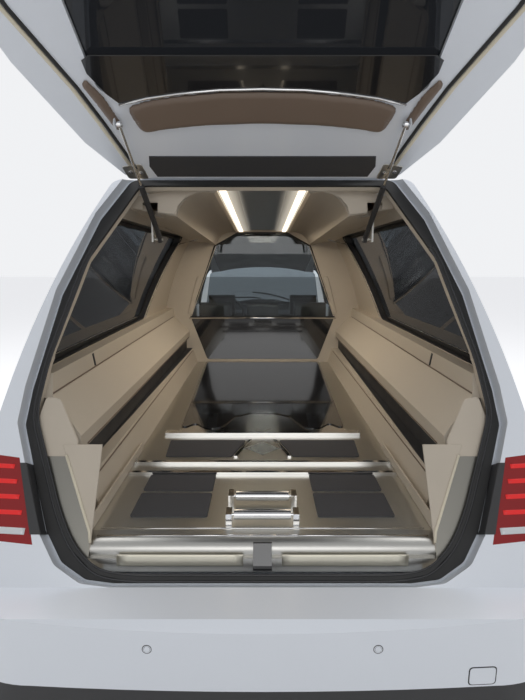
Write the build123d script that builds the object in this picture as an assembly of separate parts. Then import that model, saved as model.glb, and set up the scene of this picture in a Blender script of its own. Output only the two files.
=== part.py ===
from build123d import *
import os
from math import atan2, cos, degrees, radians, sin, sqrt

# A coachbuilt hearse with five seats, four side doors and a glazed load bay, its tailgate standing open.
# Millimetres. X is the vehicle's right, Y is forward and Z is up from the ground.
# A station is a distance forward from the rear bumper's face. A half is a distance from the centre plane.

# Overall
LENGTH = 6100.0
GROUND_CLEARANCE = 235.0
PANEL_GAP = 7.0
SKIN = 35.0
CABIN_WALL = 45.0
CABIN_HALF = 790.0
FLOOR_TOP = 265.0
FIREWALL = 4800.0
BAY_HALF = 760.0
COWL_BOTTOM = 850.0
BUMPER_REAR = 5610.0

# Wheels
REAR_AXLE = 1170.0
FRONT_AXLE = 5230.0
WHEEL_RADIUS = 335.0
WHEEL_HALF = 800.0
TYRE_WIDTH = 235.0
RIM_RADIUS = 238.0
RIM_WIDTH = 216.0
ARCH_RADIUS = 378.0
FRONT_WELL_HALF = 505.0
REAR_WELL_HALF = 668.0
KINGPIN_HALF = 780.0
SPINDLE_RADIUS = 30.0
RUNNING_FIT = 0.3

# Gas struts: the tube turns on the body and the rod, whose eye is left open, runs in it
STRUT_HALF = 455.0
STRUT_FOOT = (1150.0, 1590.0)
STRUT_EYE = (300.0, 55.0)
STRUT_STROKE = 262.0
TUBE_RADIUS = 11.0
ROD_RADIUS = 5.0
EYE_RADIUS = 10.0
EYE_BORE = 7.0
STUD_RADIUS = 3.0
TUBE_LENGTH = 345.0

# Tail plane, from its lower edge on the bumper's ledge to the hinge line under the roof's edge
TAIL_FOOT = (130.0, 620.0)
TAIL_HINGE = (880.0, 1830.0)
GATE_OPENED = 86.2
GATE_THICKNESS = 30.0
GATE_RECESS = 45.0
SEAL_THICKNESS = 10.0

# Windscreen, from its foot at the cowl to the roof's front edge
SCREEN_FOOT = (4930.0, 1000.0)
SCREEN_HEAD = (4180.0, 1468.0)
SCREEN_RADIUS = 1900.0

# Load bay
DECK_HEIGHT = 700.0
DECK_REAR = 282.0
DECK_HALF = 520.0
PARTITION = 2720.0
PARTITION_THICKNESS = 30.0

# Door handles, and the middle of a door mirror as half and height
HANDLE_HALF = 914.0
HANDLE_HEIGHT = 795.0
HANDLE_SIZE = (36.0, 175.0, 26.0)
MIRROR_AT = (948.0, 1062.0)

# Ceiling, whose panel rises rearward
CEILING_REAR = 1010.0
CEILING_HALF = 187.0
CEILING_FRONT_HEIGHT = 1716.0
CEILING_SLOPE = 0.037

# Doors and bonnet
DOOR_AXIS_HALF = 921.0
DOOR_SPLIT = 3680.0
SHUT_BEVEL = 12.0
FRAME_DEPTH = 28.0
FLANGE = 8.0

# Lower body: station, half at the sill, half at the widest, its height, half at the shoulder, its height, crown
LOWER_SECTIONS = [
    (-60, 800, 885, 640, 790, 975, 990),
    (1170, 850, 925, 690, 820, 985, 1000),
    (3000, 855, 927, 690, 822, 985, 1000),
    (4700, 850, 924, 690, 800, 985, 1010),
    (5300, 845, 918, 680, 735, 930, 992),
    (6140, 790, 850, 600, 610, 760, 800),
]
# Greenhouse: station, half at the belt, half at the roof's edge, its height, the side's bulge, height of the crown
GREENHOUSE_SECTIONS = [
    (-200, 820, 552, 1790, 48, 1815),
    (880, 838, 562, 1795, 50, 1842),
    (1600, 840, 567, 1800, 50, 1868),
    (2700, 842, 582, 1725, 44, 1800),
    (3600, 842, 612, 1530, 32, 1600),
    (4300, 826, 602, 1380, 22, 1452),
    (5000, 764, 562, 1230, 14, 1300),
]
BELT_FOOT = 900.0
ROOF_CORNER = 50.0
SHOULDER_CORNER = 45.0

# The origin lies midway between the opened tailgate's tip and the nose.
TAIL_LENGTH = sqrt((TAIL_HINGE[0] - TAIL_FOOT[0]) ** 2 + (TAIL_HINGE[1] - TAIL_FOOT[1]) ** 2)
TAIL_ANGLE = degrees(atan2(TAIL_HINGE[1] - TAIL_FOOT[1], TAIL_HINGE[0] - TAIL_FOOT[0]))
OPEN_TIP = TAIL_HINGE[0] + TAIL_LENGTH * cos(radians(180 + TAIL_ANGLE - GATE_OPENED))
ORIGIN_STATION = (LENGTH + OPEN_TIP) / 2

os.makedirs("parts", exist_ok=True)


def save(name, *solids):
    """Write one node from its solids, shifted from stations to the part's own origin."""
    found = [one for shape in solids for one in shape.solids()]
    moved = [Pos(0, -ORIGIN_STATION, 0) * one for one in found]
    export_step(moved[0] if len(moved) == 1 else Compound(children=moved), f"parts/{name}.step")


def outline(points, radius=0.0):
    """A closed flat outline with every corner rounded alike."""
    face = make_face(Polyline(*points, close=True))
    return fillet(face.vertices(), radius) if radius else face


def grown(points, amount):
    """The same corners, with every side moved outward."""
    area = sum(p[0] * q[1] - q[0] * p[1] for p, q in zip(points, points[1:] + points[:1]))
    turn = 1 if area > 0 else -1
    moved = []
    for i, corner in enumerate(points):
        sides = []
        for start, end in ((points[i - 1], corner), (corner, points[(i + 1) % len(points)])):
            dx, dy = end[0] - start[0], end[1] - start[1]
            length = sqrt(dx * dx + dy * dy)
            sides.append((turn * dy / length, -turn * dx / length))
        (ax, ay), (bx, by) = sides
        reach = amount / (1 + ax * bx + ay * by)
        moved.append((corner[0] + reach * (ax + bx), corner[1] + reach * (ay + by)))
    return moved


def across(face, x0, x1):
    """An outline of station and height, run across the vehicle."""
    return extrude(Plane.YZ.offset(x0) * face, amount=x1 - x0, dir=(1, 0, 0))


def upward(face, z0, z1):
    """An outline of half and station, run upward."""
    return extrude(Plane.XY.offset(z0) * face, amount=z1 - z0, dir=(0, 0, 1))


def along(face, y0, y1):
    """An outline of half and height, run along the vehicle."""
    return extrude(Plane.XZ.offset(-y0) * face, amount=y1 - y0, dir=(0, 1, 0))


def block(x0, x1, y0, y1, z0, z1):
    return Pos((x0 + x1) / 2, (y0 + y1) / 2, (z0 + z1) / 2) * Box(x1 - x0, y1 - y0, z1 - z0)


def bar_x(x0, x1, y, z, radius):
    return Pos((x0 + x1) / 2, y, z) * Rot(0, 90, 0) * Cylinder(radius, x1 - x0)


def bar_z(x, y, z0, z1, radius):
    return Pos(x, y, (z0 + z1) / 2) * Cylinder(radius, z1 - z0)


def sloping(face, y0, y1):
    """An outline of half and height at station y1, run rearward to y0 and rising with the ceiling."""
    length = (y1 - y0) * sqrt(1 + CEILING_SLOPE ** 2)
    return extrude(Plane.XZ.offset(-y1) * face, amount=length, dir=(0, -1, CEILING_SLOPE))


def rod(start, end, radius):
    """A round bar between two points."""
    way = Vector(*end) - Vector(*start)
    return extrude(Plane(origin=start, z_dir=way) * Circle(radius), amount=way.length)


def both(shape):
    """The shape and its mirror image on the other side."""
    return [shape, mirror(shape, about=Plane.YZ)]


def lower_body(inset=0.0):
    faces = []
    for station, sill, widest, z_widest, shoulder, z_shoulder, crown in LOWER_SECTIONS:
        bottom = GROUND_CLEARANCE + inset
        sill_point = (sill - inset, bottom)
        shoulder_point = (shoulder - inset, z_shoulder - inset)
        edge = [
            Line((-sill_point[0], bottom), sill_point),
            ThreePointArc(sill_point, (widest - inset, z_widest), shoulder_point),
            ThreePointArc(shoulder_point, (0, crown - inset), (-shoulder_point[0], shoulder_point[1])),
            ThreePointArc((-shoulder_point[0], shoulder_point[1]), (inset - widest, z_widest),
                          (-sill_point[0], bottom)),
        ]
        face = make_face(Curve() + edge)
        corners = [v for v in face.vertices() if v.Y > z_widest]
        faces.append(Plane.XZ.offset(-station) * fillet(corners, SHOULDER_CORNER))
    return loft(faces)


def greenhouse(inset=0.0):
    faces = []
    for station, belt, edge_half, z_edge, bulge, crown in GREENHOUSE_SECTIONS:
        a, b = belt - inset, edge_half - inset
        top = z_edge - inset
        middle = ((a + b) / 2 + bulge, (BELT_FOOT + top) / 2)
        edge = [
            Line((-a, BELT_FOOT), (a, BELT_FOOT)),
            ThreePointArc((a, BELT_FOOT), middle, (b, top)),
            ThreePointArc((b, top), (0, crown - inset), (-b, top)),
            ThreePointArc((-b, top), (-middle[0], middle[1]), (-a, BELT_FOOT)),
        ]
        face = make_face(Curve() + edge)
        corners = [v for v in face.vertices() if v.Y > BELT_FOOT + 1]
        faces.append(Plane.XZ.offset(-station) * fillet(corners, ROOF_CORNER))
    return loft(faces)


# Frames of the two sloping glazed planes: local X across, local Y up the slope, local Z inward or outward
def tail_plane(depth=0.0):
    """The tail plane with its origin on the hinge line, local Y down the gate and local Z outward."""
    down = Vector(0, TAIL_FOOT[0] - TAIL_HINGE[0], TAIL_FOOT[1] - TAIL_HINGE[1]).normalized()
    inward = Vector(0, -down.Z, down.Y)
    origin = Vector(0, *TAIL_HINGE) + inward * depth
    return Plane(origin=origin, x_dir=(-1, 0, 0), z_dir=-inward)


def at_height(height):
    """Distance down the tail plane from the hinge to a height."""
    return (TAIL_HINGE[1] - height) / sin(radians(TAIL_ANGLE))


def tail_points(table):
    """Corners on the tail plane from half widths at heights, mirrored."""
    right = [(half, at_height(height)) for half, height in table]
    left = [(-half, along_gate) for half, along_gate in reversed(right)]
    return right + left


def tail_slab(face, depth0, depth1):
    """An outline on the tail plane, as a slab between two depths below its outer face."""
    return extrude(tail_plane(depth1) * face, amount=depth1 - depth0)


# Half width and height of the gate's outline and of the opening inside the seal
GATE_TABLE = [(505, 1826), (605, 1668), (700, 1400), (744, 1110), (748, 1010), (632, 745), (575, 672), (500, 634),
              (420, 626)]
OPENING_TABLE = [(470, 1800), (628, 1524), (706, 1190), (718, 1040), (600, 790), (545, 712), (470, 656), (380, 643)]
GATE_CORNER = 45.0
gate_face = outline(tail_points(GATE_TABLE), GATE_CORNER)
gate_room_face = outline(grown(tail_points(GATE_TABLE), PANEL_GAP), GATE_CORNER + PANEL_GAP)
opening_face = outline(tail_points(OPENING_TABLE), GATE_CORNER)

# Whole outer form
nose_edge = [
    ThreePointArc((-600, 18), (0, 0), (600, 18)),
    ThreePointArc((600, 18), (815, 100), (925, 330)),
    Line((925, 330), (945, 700)),
    Line((945, 700), (945, 5200)),
    ThreePointArc((945, 5200), (850, 5790), (470, 6050)),
    ThreePointArc((470, 6050), (0, LENGTH), (-470, 6050)),
    ThreePointArc((-470, 6050), (-850, 5790), (-945, 5200)),
    Line((-945, 5200), (-945, 700)),
    Line((-945, 700), (-925, 330)),
    ThreePointArc((-925, 330), (-815, 100), (-600, 18)),
]
plan_form = upward(make_face(Curve() + nose_edge), 0, 2000)
beyond_roof = 2000.0
roof_rear = TAIL_HINGE[0] + (beyond_roof - TAIL_HINGE[1]) / sin(radians(TAIL_ANGLE)) * cos(radians(TAIL_ANGLE))
side_form = across(outline([
    (95, 235), (20, 300), (0, 400), (0, 588), (22, 612), TAIL_FOOT, (roof_rear, beyond_roof),
    (LENGTH, beyond_roof), (5950, 800), (6062, 735), (LENGTH, 600), (LENGTH, 420), (6040, 235),
]), -1000, 1000)

slope = Vector(0, SCREEN_HEAD[0] - SCREEN_FOOT[0], SCREEN_HEAD[1] - SCREEN_FOOT[1])
screen_out = Vector(0, slope.Z, -slope.Y).normalized()


def screen_drum(inset=0.0):
    """The drum whose front is the windscreen's outer face, moved inward by inset."""
    foot = Vector(0, *SCREEN_FOOT) - slope * 1.2
    axis = foot - screen_out * SCREEN_RADIUS
    drum = Plane(origin=axis, x_dir=(1, 0, 0), z_dir=slope)
    return extrude(drum * Circle(SCREEN_RADIUS - inset), amount=slope.length * 3.4)


def before_screen(inset=0.0):
    """What lies in front of the windscreen's face, to cut away."""
    foot = Vector(0, *SCREEN_FOOT) - slope * 1.1
    sheet = Plane(origin=foot - screen_out * 400, x_dir=(-1, 0, 0), z_dir=screen_out)
    room = extrude(sheet * Pos(0, slope.length * 1.5) * Rectangle(2400, slope.length * 3.2), amount=1500)
    return room - screen_drum(inset)


lower_outer = lower_body() & plan_form & side_form
upper_outer = (greenhouse() & side_form) - before_screen()
body_outer = lower_outer + upper_outer

# Hollows inside the body
tail_back = tail_slab(outline([(-1200, -400), (1200, -400), (1200, 1500), (-1200, 1500)]), -900, GATE_RECESS + 20)
cabin_low = block(-CABIN_HALF, CABIN_HALF, 390, FIREWALL, FLOOR_TOP, 1000)
cabin_high = (greenhouse(CABIN_WALL) - before_screen(22)) - block(-1000, 1000, FIREWALL, 5400, 0, 2000)
cabin = (cabin_low + cabin_high) - tail_back
bay_outline = [(BAY_HALF, FIREWALL + 40), (BAY_HALF, BUMPER_REAR), (520, 5890), (-520, 5890),
               (-BAY_HALF, BUMPER_REAR), (-BAY_HALF, FIREWALL + 40)]
engine_bay = lower_body(SKIN) & upward(outline(bay_outline), FLOOR_TOP, 1100)
behind_nose = block(-380, 380, 5880, 6010, FLOOR_TOP + 40, 640)
behind_bumper = block(-770, 770, 110, 400, FLOOR_TOP, 585)
shell = body_outer - cabin - engine_bay - behind_nose - behind_bumper

# Wheel arches
for axle, inner in ((REAR_AXLE, REAR_WELL_HALF), (FRONT_AXLE, FRONT_WELL_HALF)):
    for side in (-1, 1):
        well = bar_x(min(side * inner, side * 1000), max(side * inner, side * 1000), axle, WHEEL_RADIUS,
                     ARCH_RADIUS)
        shell -= well
        cabin -= bar_x(min(side * inner, side * 1000), max(side * inner, side * 1000), axle, WHEEL_RADIUS,
                       ARCH_RADIUS + 12)

# Tail opening
shell -= tail_slab(gate_room_face, -60, GATE_RECESS)
shell -= tail_slab(opening_face, -60, 400) & block(-900, 900, 0, 1400, 600, 2000)

# Windscreen
screen_plane = Plane(origin=Vector(0, *SCREEN_FOOT) - screen_out * 300, x_dir=(-1, 0, 0), z_dir=screen_out)
screen_face = outline([(-690, 60), (690, 60), (560, slope.length - 45), (-560, slope.length - 45)], 60)
screen_hole = extrude(screen_plane * screen_face, amount=500)
shell -= screen_hole
windscreen = (screen_drum(5) - screen_drum(12)) & screen_hole & block(-900, 900, 4000, 5100, 900, 1600)


# Panels are cut from the shell by side-view outlines of station and height, or by plan outlines.
REAR_DOOR_REAR = 2790.0
DOOR_BOTTOM = 300.0
ROOF_HALF = 455.0
BUMPER_TOP = 616.0
VALANCE_TOP = 420.0
WING_REAR = 4700 + 2 * PANEL_GAP
FRONT_DOOR = [(DOOR_SPLIT, DOOR_BOTTOM), (4700, DOOR_BOTTOM), (4700, 1010), (4150, 1385), (DOOR_SPLIT, 1432)]
REAR_DOOR = [(REAR_DOOR_REAR, DOOR_BOTTOM), (DOOR_SPLIT - PANEL_GAP, DOOR_BOTTOM),
             (DOOR_SPLIT - PANEL_GAP, 1432), (REAR_DOOR_REAR, 1452)]
FRONT_WINDOW = [(3760, 1010), (4570, 1010), (4120, 1330), (3760, 1372)]
REAR_WINDOW = [(2860, 1010), (3595, 1010), (3595, 1376), (2860, 1392)]
BAY_WINDOW = [(510, 1130), (2010, 1130), (2440, 1665), (870, 1665)]
BONNET = [(-640, 4955), (640, 4955), (700, 5300), (640, 5880), (-640, 5880), (-700, 5300)]

glass_layer = (greenhouse(10) - greenhouse(16)) & block(310, 1100, 300, 4900, 910, 2000)
right_half = shell & block(310, 1100, -200, 6300, 0, 2000)
door_faces = {"front": outline(FRONT_DOOR, 30), "rear": outline(REAR_DOOR, 30)}
window_faces = {"front": outline(FRONT_WINDOW, 35), "rear": outline(REAR_WINDOW, 35)}
bay_face = outline(BAY_WINDOW, 45)

side_face = outline([(-100, BUMPER_TOP), (-100, 2000), (WING_REAR, 2000), (WING_REAR, 0), (800, 0), (800, BUMPER_TOP)])
side_face -= outline(grown(FRONT_DOOR, PANEL_GAP), 30 + PANEL_GAP)
side_face -= outline(grown(REAR_DOOR, PANEL_GAP), 30 + PANEL_GAP)
side_face -= bay_face
side_form_right = across(side_face, ROOF_HALF, 1100) - block(0, CABIN_HALF, 0, 5000, 0, FLOOR_TOP)
side_form_right -= block(0, 700, 4700, 5200, 0, 1200)
body_side_right = right_half & side_form_right
bay_pane = glass_layer & across(bay_face, 300, 1100)
# A door's frame is thin above the belt, and its shut edge recedes inward, because it swings past the next frame.
doors = {}
for place, shut_edge, lead_edge in (("front", DOOR_SPLIT, 4700), ("rear", REAR_DOOR_REAR, DOOR_SPLIT)):
    door = right_half & across(door_faces[place] - window_faces[place], 300, 1100)
    hollow = greenhouse(FRAME_DEPTH) & block(300, 1100, shut_edge - 5, lead_edge + 5, BELT_FOOT + 60, 1600)
    hollow += greenhouse(FLANGE) & block(300, 1100, shut_edge - 5, shut_edge + SHUT_BEVEL, BELT_FOOT + 60, 1600)
    wedge = make_face(Polyline((852, shut_edge - 1), (740, shut_edge - 1), (740, shut_edge + 44), close=True))
    door = door - hollow - upward(wedge, 0, BELT_FOOT + 60)
    handle_at = shut_edge + 150
    door += Pos(HANDLE_HALF, handle_at, HANDLE_HEIGHT) * fillet(Box(*HANDLE_SIZE).edges(), 8)
    pane = glass_layer & across(window_faces[place], 300, 1100)
    doors[place] = (door, pane)

# Door mirror: a housing that widens rearward to its recessed glass, on a foot at the window's front corner
mirror_sections = ((4605, 110, 66, 28), (4560, 178, 112, 40), (4515, 196, 128, 42))
mirror_faces = [Plane.XZ.offset(-y) * Pos(*MIRROR_AT) * fillet(Rectangle(width, height).vertices(), corner)
                for y, width, height, corner in mirror_sections]
housing = loft(mirror_faces)
housing -= along(Pos(*MIRROR_AT) * fillet(Rectangle(176, 108).vertices(), 34), 4500, 4521)
housing += rod((785, 4625, 985), (900, 4568, 1040), 20)
doors["front"] = (doors["front"][0] + housing, doors["front"][1])

# Panels across the vehicle
bonnet_face = outline(BONNET, 60)
BONNET_BOTTOM = 812.0
BONNET_GAP = 10.0
over_bonnet = upward(bonnet_face, BONNET_BOTTOM, 1100)
round_bonnet = upward(outline(grown(BONNET, BONNET_GAP), 60 + BONNET_GAP), BONNET_BOTTOM - BONNET_GAP, 1150)
front_cut = across(outline([(BUMPER_REAR, 0), (BUMPER_REAR, 560), (5640, 640), (5900, 668), (5900, 1200), (6300, 1200),
                            (6300, 0)]), -1000, 1000)
engine_sides = block(-1000, 1000, WING_REAR, 5900, FLOOR_TOP, 1200) - block(-700, 700, WING_REAR, 4970, 0, 1200)
bonnet = shell & over_bonnet
front_bumper = shell & front_cut
front_wings = shell & (engine_sides - front_cut - round_bonnet - block(-560, 560, 4900, 6000, 0, 1200))
roof_panel = shell & block(-ROOF_HALF, ROOF_HALF, 700, 4500, 1300, 2000)
floor_pan = shell & block(-CABIN_HALF, CABIN_HALF, 300, BUMPER_REAR, 0, FLOOR_TOP)
rear_bumper = shell & (across(outline([(-50, 0), (-50, BUMPER_TOP), (800, BUMPER_TOP), (800, 0)]), -1000, 1000)
                       - block(-CABIN_HALF, CABIN_HALF, 300, 900, 0, FLOOR_TOP))
cowl_panel = shell & (block(-700, 700, 4700, 4970, COWL_BOTTOM, 1200) - round_bonnet)
# Tailgate hinges: a pin between two ears on the roof, and an eye on the gate's upper edge between them
HINGE_EYE = (152.0, 184.0)
HINGE_RADIUS = 9.0
HINGE_PIN = 4.0
for side in (-1, 1):
    x0, x1 = sorted((side * HINGE_EYE[0], side * HINGE_EYE[1]))
    roof_panel -= bar_x(x0 - 1, x1 + 1, *TAIL_HINGE, HINGE_RADIUS + 1)
    roof_panel += bar_x(x0 - 12, x0 - 1, *TAIL_HINGE, HINGE_RADIUS) + bar_x(x1 + 1, x1 + 12, *TAIL_HINGE, HINGE_RADIUS)
    roof_panel += bar_x(x0 - 12, x1 + 12, *TAIL_HINGE, HINGE_PIN)
tail_panel = shell & block(-ROOF_HALF, ROOF_HALF, -50, 700, BUMPER_TOP, 800)

# Lamps and grille take their outer faces from the body
LAMP_TABLE = [(728, 918), (1000, 948), (1000, 742), (648, 712)]
lamp_face = outline([(half, at_height(height)) for half, height in LAMP_TABLE])
lamp_room = tail_slab(lamp_face, -200, 60)
if lamp_room.center().X < 0:
    lamp_room = mirror(lamp_room, about=Plane.YZ)
tail_lamp = body_side_right & lamp_room
body_side_right -= lamp_room
head_room = along(outline([(440, 612), (560, 592), (880, 640), (960, 700), (960, 722), (640, 706), (455, 668)], 8),
                  5640, 6300)
grille_room = along(outline([(-330, 320), (330, 320), (380, 600), (-380, 600)], 20), 5900, 6300)
headlamp = shell & head_room
for room in both(head_room):
    front_wings -= room
grille = front_bumper & grille_room
for row in range(5):
    grille -= block(-300, 300, 6000, 6300, 350 + row * 48, 376 + row * 48) & along(outline(
        [(-305, 335), (305, 335), (350, 590), (-350, 590)]), 5900, 6300)
for room in (*both(head_room), grille_room):
    front_bumper -= room

# Floor: wheel wells, firewall and the hump over the rear axle
HUMP = (1000.0, 1340.0, 435.0)
WELL_WALL = 12.0
for axle, inner, outer in ((REAR_AXLE, REAR_WELL_HALF, CABIN_HALF), (FRONT_AXLE, FRONT_WELL_HALF, BAY_HALF)):
    liner = bar_x(inner - WELL_WALL, outer, axle, WHEEL_RADIUS, ARCH_RADIUS + WELL_WALL)
    liner -= bar_x(inner, 1000, axle, WHEEL_RADIUS, ARCH_RADIUS)
    liner &= block(0, 2000, 0, BUMPER_REAR, FLOOR_TOP, 1000)
    if outer == BAY_HALF:
        liner &= lower_body(SKIN + RUNNING_FIT)
    for one in both(liner):
        floor_pan += one
floor_pan -= block(1 - REAR_WELL_HALF, REAR_WELL_HALF - 1, *HUMP[:2], 0, HUMP[2])
hump = block(-REAR_WELL_HALF, REAR_WELL_HALF, HUMP[0] - WELL_WALL, HUMP[1] + WELL_WALL, FLOOR_TOP,
             HUMP[2] + WELL_WALL)
hump -= block(-1000, 1000, *HUMP[:2], 0, HUMP[2])
floor_pan += hump - bar_x(REAR_WELL_HALF - 60, 900, REAR_AXLE, WHEEL_RADIUS, 80)
floor_pan -= bar_x(-900, 900, REAR_AXLE, WHEEL_RADIUS, 80)
floor_pan += shell & block(-700, 700, FIREWALL, FIREWALL + 40, FLOOR_TOP, COWL_BOTTOM)
bonnet_arm = block(560, 590, FIREWALL + 30, 5010, COWL_BOTTOM - 80, 1100) & lower_body(SKIN + RUNNING_FIT)
bonnet_arm -= block(550, 600, FIREWALL, FIREWALL + 41, COWL_BOTTOM, 1100)
for one in both(bonnet_arm):
    floor_pan += one


def solids_over(shape, least=1e4):
    """The shape's solids, without slivers."""
    return [one for one in shape.solids() if one.volume > least]


def mirrored(shapes):
    return [mirror(one, about=Plane.YZ) for one in shapes]


# Cabin: posts between the doors, seats, dashboard and engine
post = (greenhouse(CABIN_WALL + PANEL_GAP) - greenhouse(CABIN_WALL + 55)) + block(735, 783, 0, 5000, FLOOR_TOP, 905)
post = post & block(500, 790, DOOR_SPLIT - 48, DOOR_SPLIT + 42, FLOOR_TOP, 1530)
post = solids_over(post)[0]
for z in (480, 760):
    post += block(772, CABIN_HALF - RUNNING_FIT, 3592, 3626, z, z + 60) + block(772, 783, 3592, 3640, z, z + 60)
save("door_posts", *both(post))

body_side = solids_over(body_side_right)
save("body_side_right", *body_side)
save("body_side_left", *mirrored(body_side))
for name, shape in (("roof_panel", roof_panel), ("floor_pan", floor_pan),
                    ("front_bumper", front_bumper), ("front_wings", front_wings), ("bonnet", bonnet),
                    ("windscreen", windscreen), ("cowl_panel", cowl_panel), ("tail_panel", tail_panel)):
    save(name, *solids_over(shape))
valance_cut = block(-1000, 1000, -60, 900, 0, VALANCE_TOP)
save("rear_bumper", *solids_over(rear_bumper - valance_cut))
save("rear_valance", *solids_over(rear_bumper & valance_cut))
save("tail_lamps", *both(solids_over(tail_lamp)[0]))
save("headlamps", *both(solids_over(headlamp)[0]))
save("grille", *solids_over(grille))
save("bay_windows", bay_pane, mirror(bay_pane, about=Plane.YZ))
for place, (door, pane) in doors.items():
    pieces = solids_over(door) + solids_over(pane)
    save(f"door_{place}_right", *pieces)
    save(f"door_{place}_left", *mirrored(pieces))

SEAT_ROWS = [("rear", 3080, (-376, 0, 376), 460), ("front", 3900, (-390, 390), 540)]
seats = []
for row, hip, halves, width in SEAT_ROWS:
    seat_form = outline([(hip - 220, 330), (hip + 330, 300), (hip + 350, 440), (hip - 90, 400),
                         (hip - 230, 960), (hip - 330, 940)], 40)
    rest = outline([(hip - 330, 975), (hip - 235, 985), (hip - 245, 1170), (hip - 325, 1165)], 35)
    if row == "rear":
        seats.append(across(seat_form, -640, 640))
    for x in halves:
        if row == "front":
            seats.append(across(seat_form, x - width / 2, x + width / 2))
        head = across(rest, x - 125, x + 125)
        stem = rod((x, hip - 285, 940), (x, hip - 285, 1000), 7)
        foot = block(x - 150, x + 150, hip - 100, hip + 200, FLOOR_TOP, 330)
        seats[-1] = seats[-1] + head + stem + (foot if row == "front" else foot & block(-900, 900, 0, 9000, 0, 330))
save("seats", *seats)
dash = outline([(4400, 700), (4440, 890), (4560, 930), (FIREWALL, 880), (FIREWALL, 640), (4500, 640)], 25)
wheel_place = Pos(-390, 4300, 905) * Rot(68, 0, 0)
steering_wheel = wheel_place * Torus(178, 13) + wheel_place * Cylinder(48, 24) + wheel_place * Box(340, 34, 10)
steering_wheel += rod((-390, 4300, 905), (-390, 4470, 836), 24)
save("dashboard", across(dash, -700, 700) + steering_wheel)
save("engine_block", block(-260, 260, 4900, 5480, FLOOR_TOP, 800))

# Wheels
tyre_half = TYRE_WIDTH / 2
tyre_profile = make_face(Polyline(
    (-100, RIM_RADIUS), (-tyre_half, 278), (-106, 322), (-78, WHEEL_RADIUS),
    (78, WHEEL_RADIUS), (106, 322), (tyre_half, 278), (100, RIM_RADIUS), close=True))
tyre = revolve(Plane.XZ * tyre_profile, axis=Axis.X)
rim_half = RIM_WIDTH / 2
rim_profile = make_face(Polyline(
    (-rim_half, RIM_RADIUS), (-rim_half, 226), (50, 226), (58, 90), (30, 75), (30, SPINDLE_RADIUS + RUNNING_FIT),
    (76, SPINDLE_RADIUS + RUNNING_FIT), (78, 85), (84, 226), (rim_half, 228), (rim_half, RIM_RADIUS), close=True))
rim = revolve(Plane.XZ * rim_profile, axis=Axis.X)
SPOKES = 7
spoke_window = outline([(-26, 104), (26, 104), (68, 206), (-68, 206)], 14)
for turn in range(SPOKES):
    hole = extrude(Plane.YZ.offset(-20) * spoke_window, amount=200, dir=(1, 0, 0))
    rim -= Rot(turn * 360 / SPOKES, 0, 0) * (hole & block(40, 200, -300, 300, 0, 220))
for row, axle in (("front", FRONT_AXLE), ("rear", REAR_AXLE)):
    for side_name, side in (("right", 1), ("left", -1)):
        place = Pos(side * WHEEL_HALF, axle, WHEEL_RADIUS)
        save(f"tyre_{row}_{side_name}", place * (tyre if side > 0 else mirror(tyre, about=Plane.YZ)))
        save(f"rim_{row}_{side_name}", place * (rim if side > 0 else mirror(rim, about=Plane.YZ)))

# Front suspension: a cross beam with two arms a side, and a knuckle that steers between their pins
PIN_RISE = 110.0
knuckle = block(745, 790, FRONT_AXLE - 35, FRONT_AXLE + 35, WHEEL_RADIUS - PIN_RISE, WHEEL_RADIUS + PIN_RISE)
knuckle += bar_x(780, WHEEL_HALF + 70, FRONT_AXLE, WHEEL_RADIUS, SPINDLE_RADIUS)
knuckle += bar_x(796, 814, FRONT_AXLE, WHEEL_RADIUS, 165)
save("knuckle_right", knuckle)
save("knuckle_left", mirror(knuckle, about=Plane.YZ))
arms = []
for z, pin in ((WHEEL_RADIUS - PIN_RISE - 15, -1), (WHEEL_RADIUS + PIN_RISE + 15, 1)):
    arm = rod((590, FRONT_AXLE, z), (KINGPIN_HALF, FRONT_AXLE, z), 12)
    end = WHEEL_RADIUS + pin * (PIN_RISE + RUNNING_FIT)
    arm += bar_z(KINGPIN_HALF, FRONT_AXLE, min(z, end), max(z, end), 9)
    arms.append(arm)
tower = block(560, 610, FRONT_AXLE - 30, FRONT_AXLE + 30, 195, WHEEL_RADIUS + PIN_RISE + 40)
half_axle = block(-1, 610, FRONT_AXLE - 40, FRONT_AXLE + 40, 190, GROUND_CLEARANCE) + tower + arms[0] + arms[1]
save("front_axle", half_axle + mirror(half_axle, about=Plane.YZ))
half_rear = bar_x(-1, 780, REAR_AXLE, WHEEL_RADIUS, 38)
half_rear += bar_x(770, WHEEL_HALF + 70, REAR_AXLE, WHEEL_RADIUS, SPINDLE_RADIUS)
half_rear += bar_x(796, 814, REAR_AXLE, WHEEL_RADIUS, 165)
half_rear += block(420, 470, REAR_AXLE - 30, REAR_AXLE + 30, WHEEL_RADIUS, HUMP[2])
rear_axle = half_rear + mirror(half_rear, about=Plane.YZ) + bar_x(-110, 110, REAR_AXLE, WHEEL_RADIUS, 85)
save("rear_axle", rear_axle)

# Load bay
DECK_THICKNESS = 12.0
LINING_FOOT = 560.0
deck = block(-LINING_FOOT, LINING_FOOT, 420, PARTITION, DECK_HEIGHT - DECK_THICKNESS, DECK_HEIGHT)
deck += block(-DECK_HALF, DECK_HALF, DECK_REAR, 430, DECK_HEIGHT - DECK_THICKNESS, DECK_HEIGHT)
for side in (-1, 1):
    x0, x1 = sorted((side * 500, side * 512))
    deck += block(x0, x1, 420, PARTITION, FLOOR_TOP, DECK_HEIGHT - 1) - block(
        -900, 900, HUMP[0] - WELL_WALL, HUMP[1] + WELL_WALL, 0, HUMP[2] + WELL_WALL)
save("load_deck", deck)
kick_face = make_face(Curve() + [
    Line((DECK_REAR, DECK_HEIGHT), (248, 696)), ThreePointArc((248, 696), (226, 680), (220, 655)),
    Line((220, 655), (208, 655)), Line((208, 655), (204, BUMPER_TOP)), Line((204, BUMPER_TOP), (DECK_REAR, BUMPER_TOP)),
    Line((DECK_REAR, BUMPER_TOP), (DECK_REAR, DECK_HEIGHT)),
])
sill = across(kick_face, -DECK_HALF, DECK_HALF) & tail_slab(opening_face, GATE_RECESS, 400)
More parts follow.
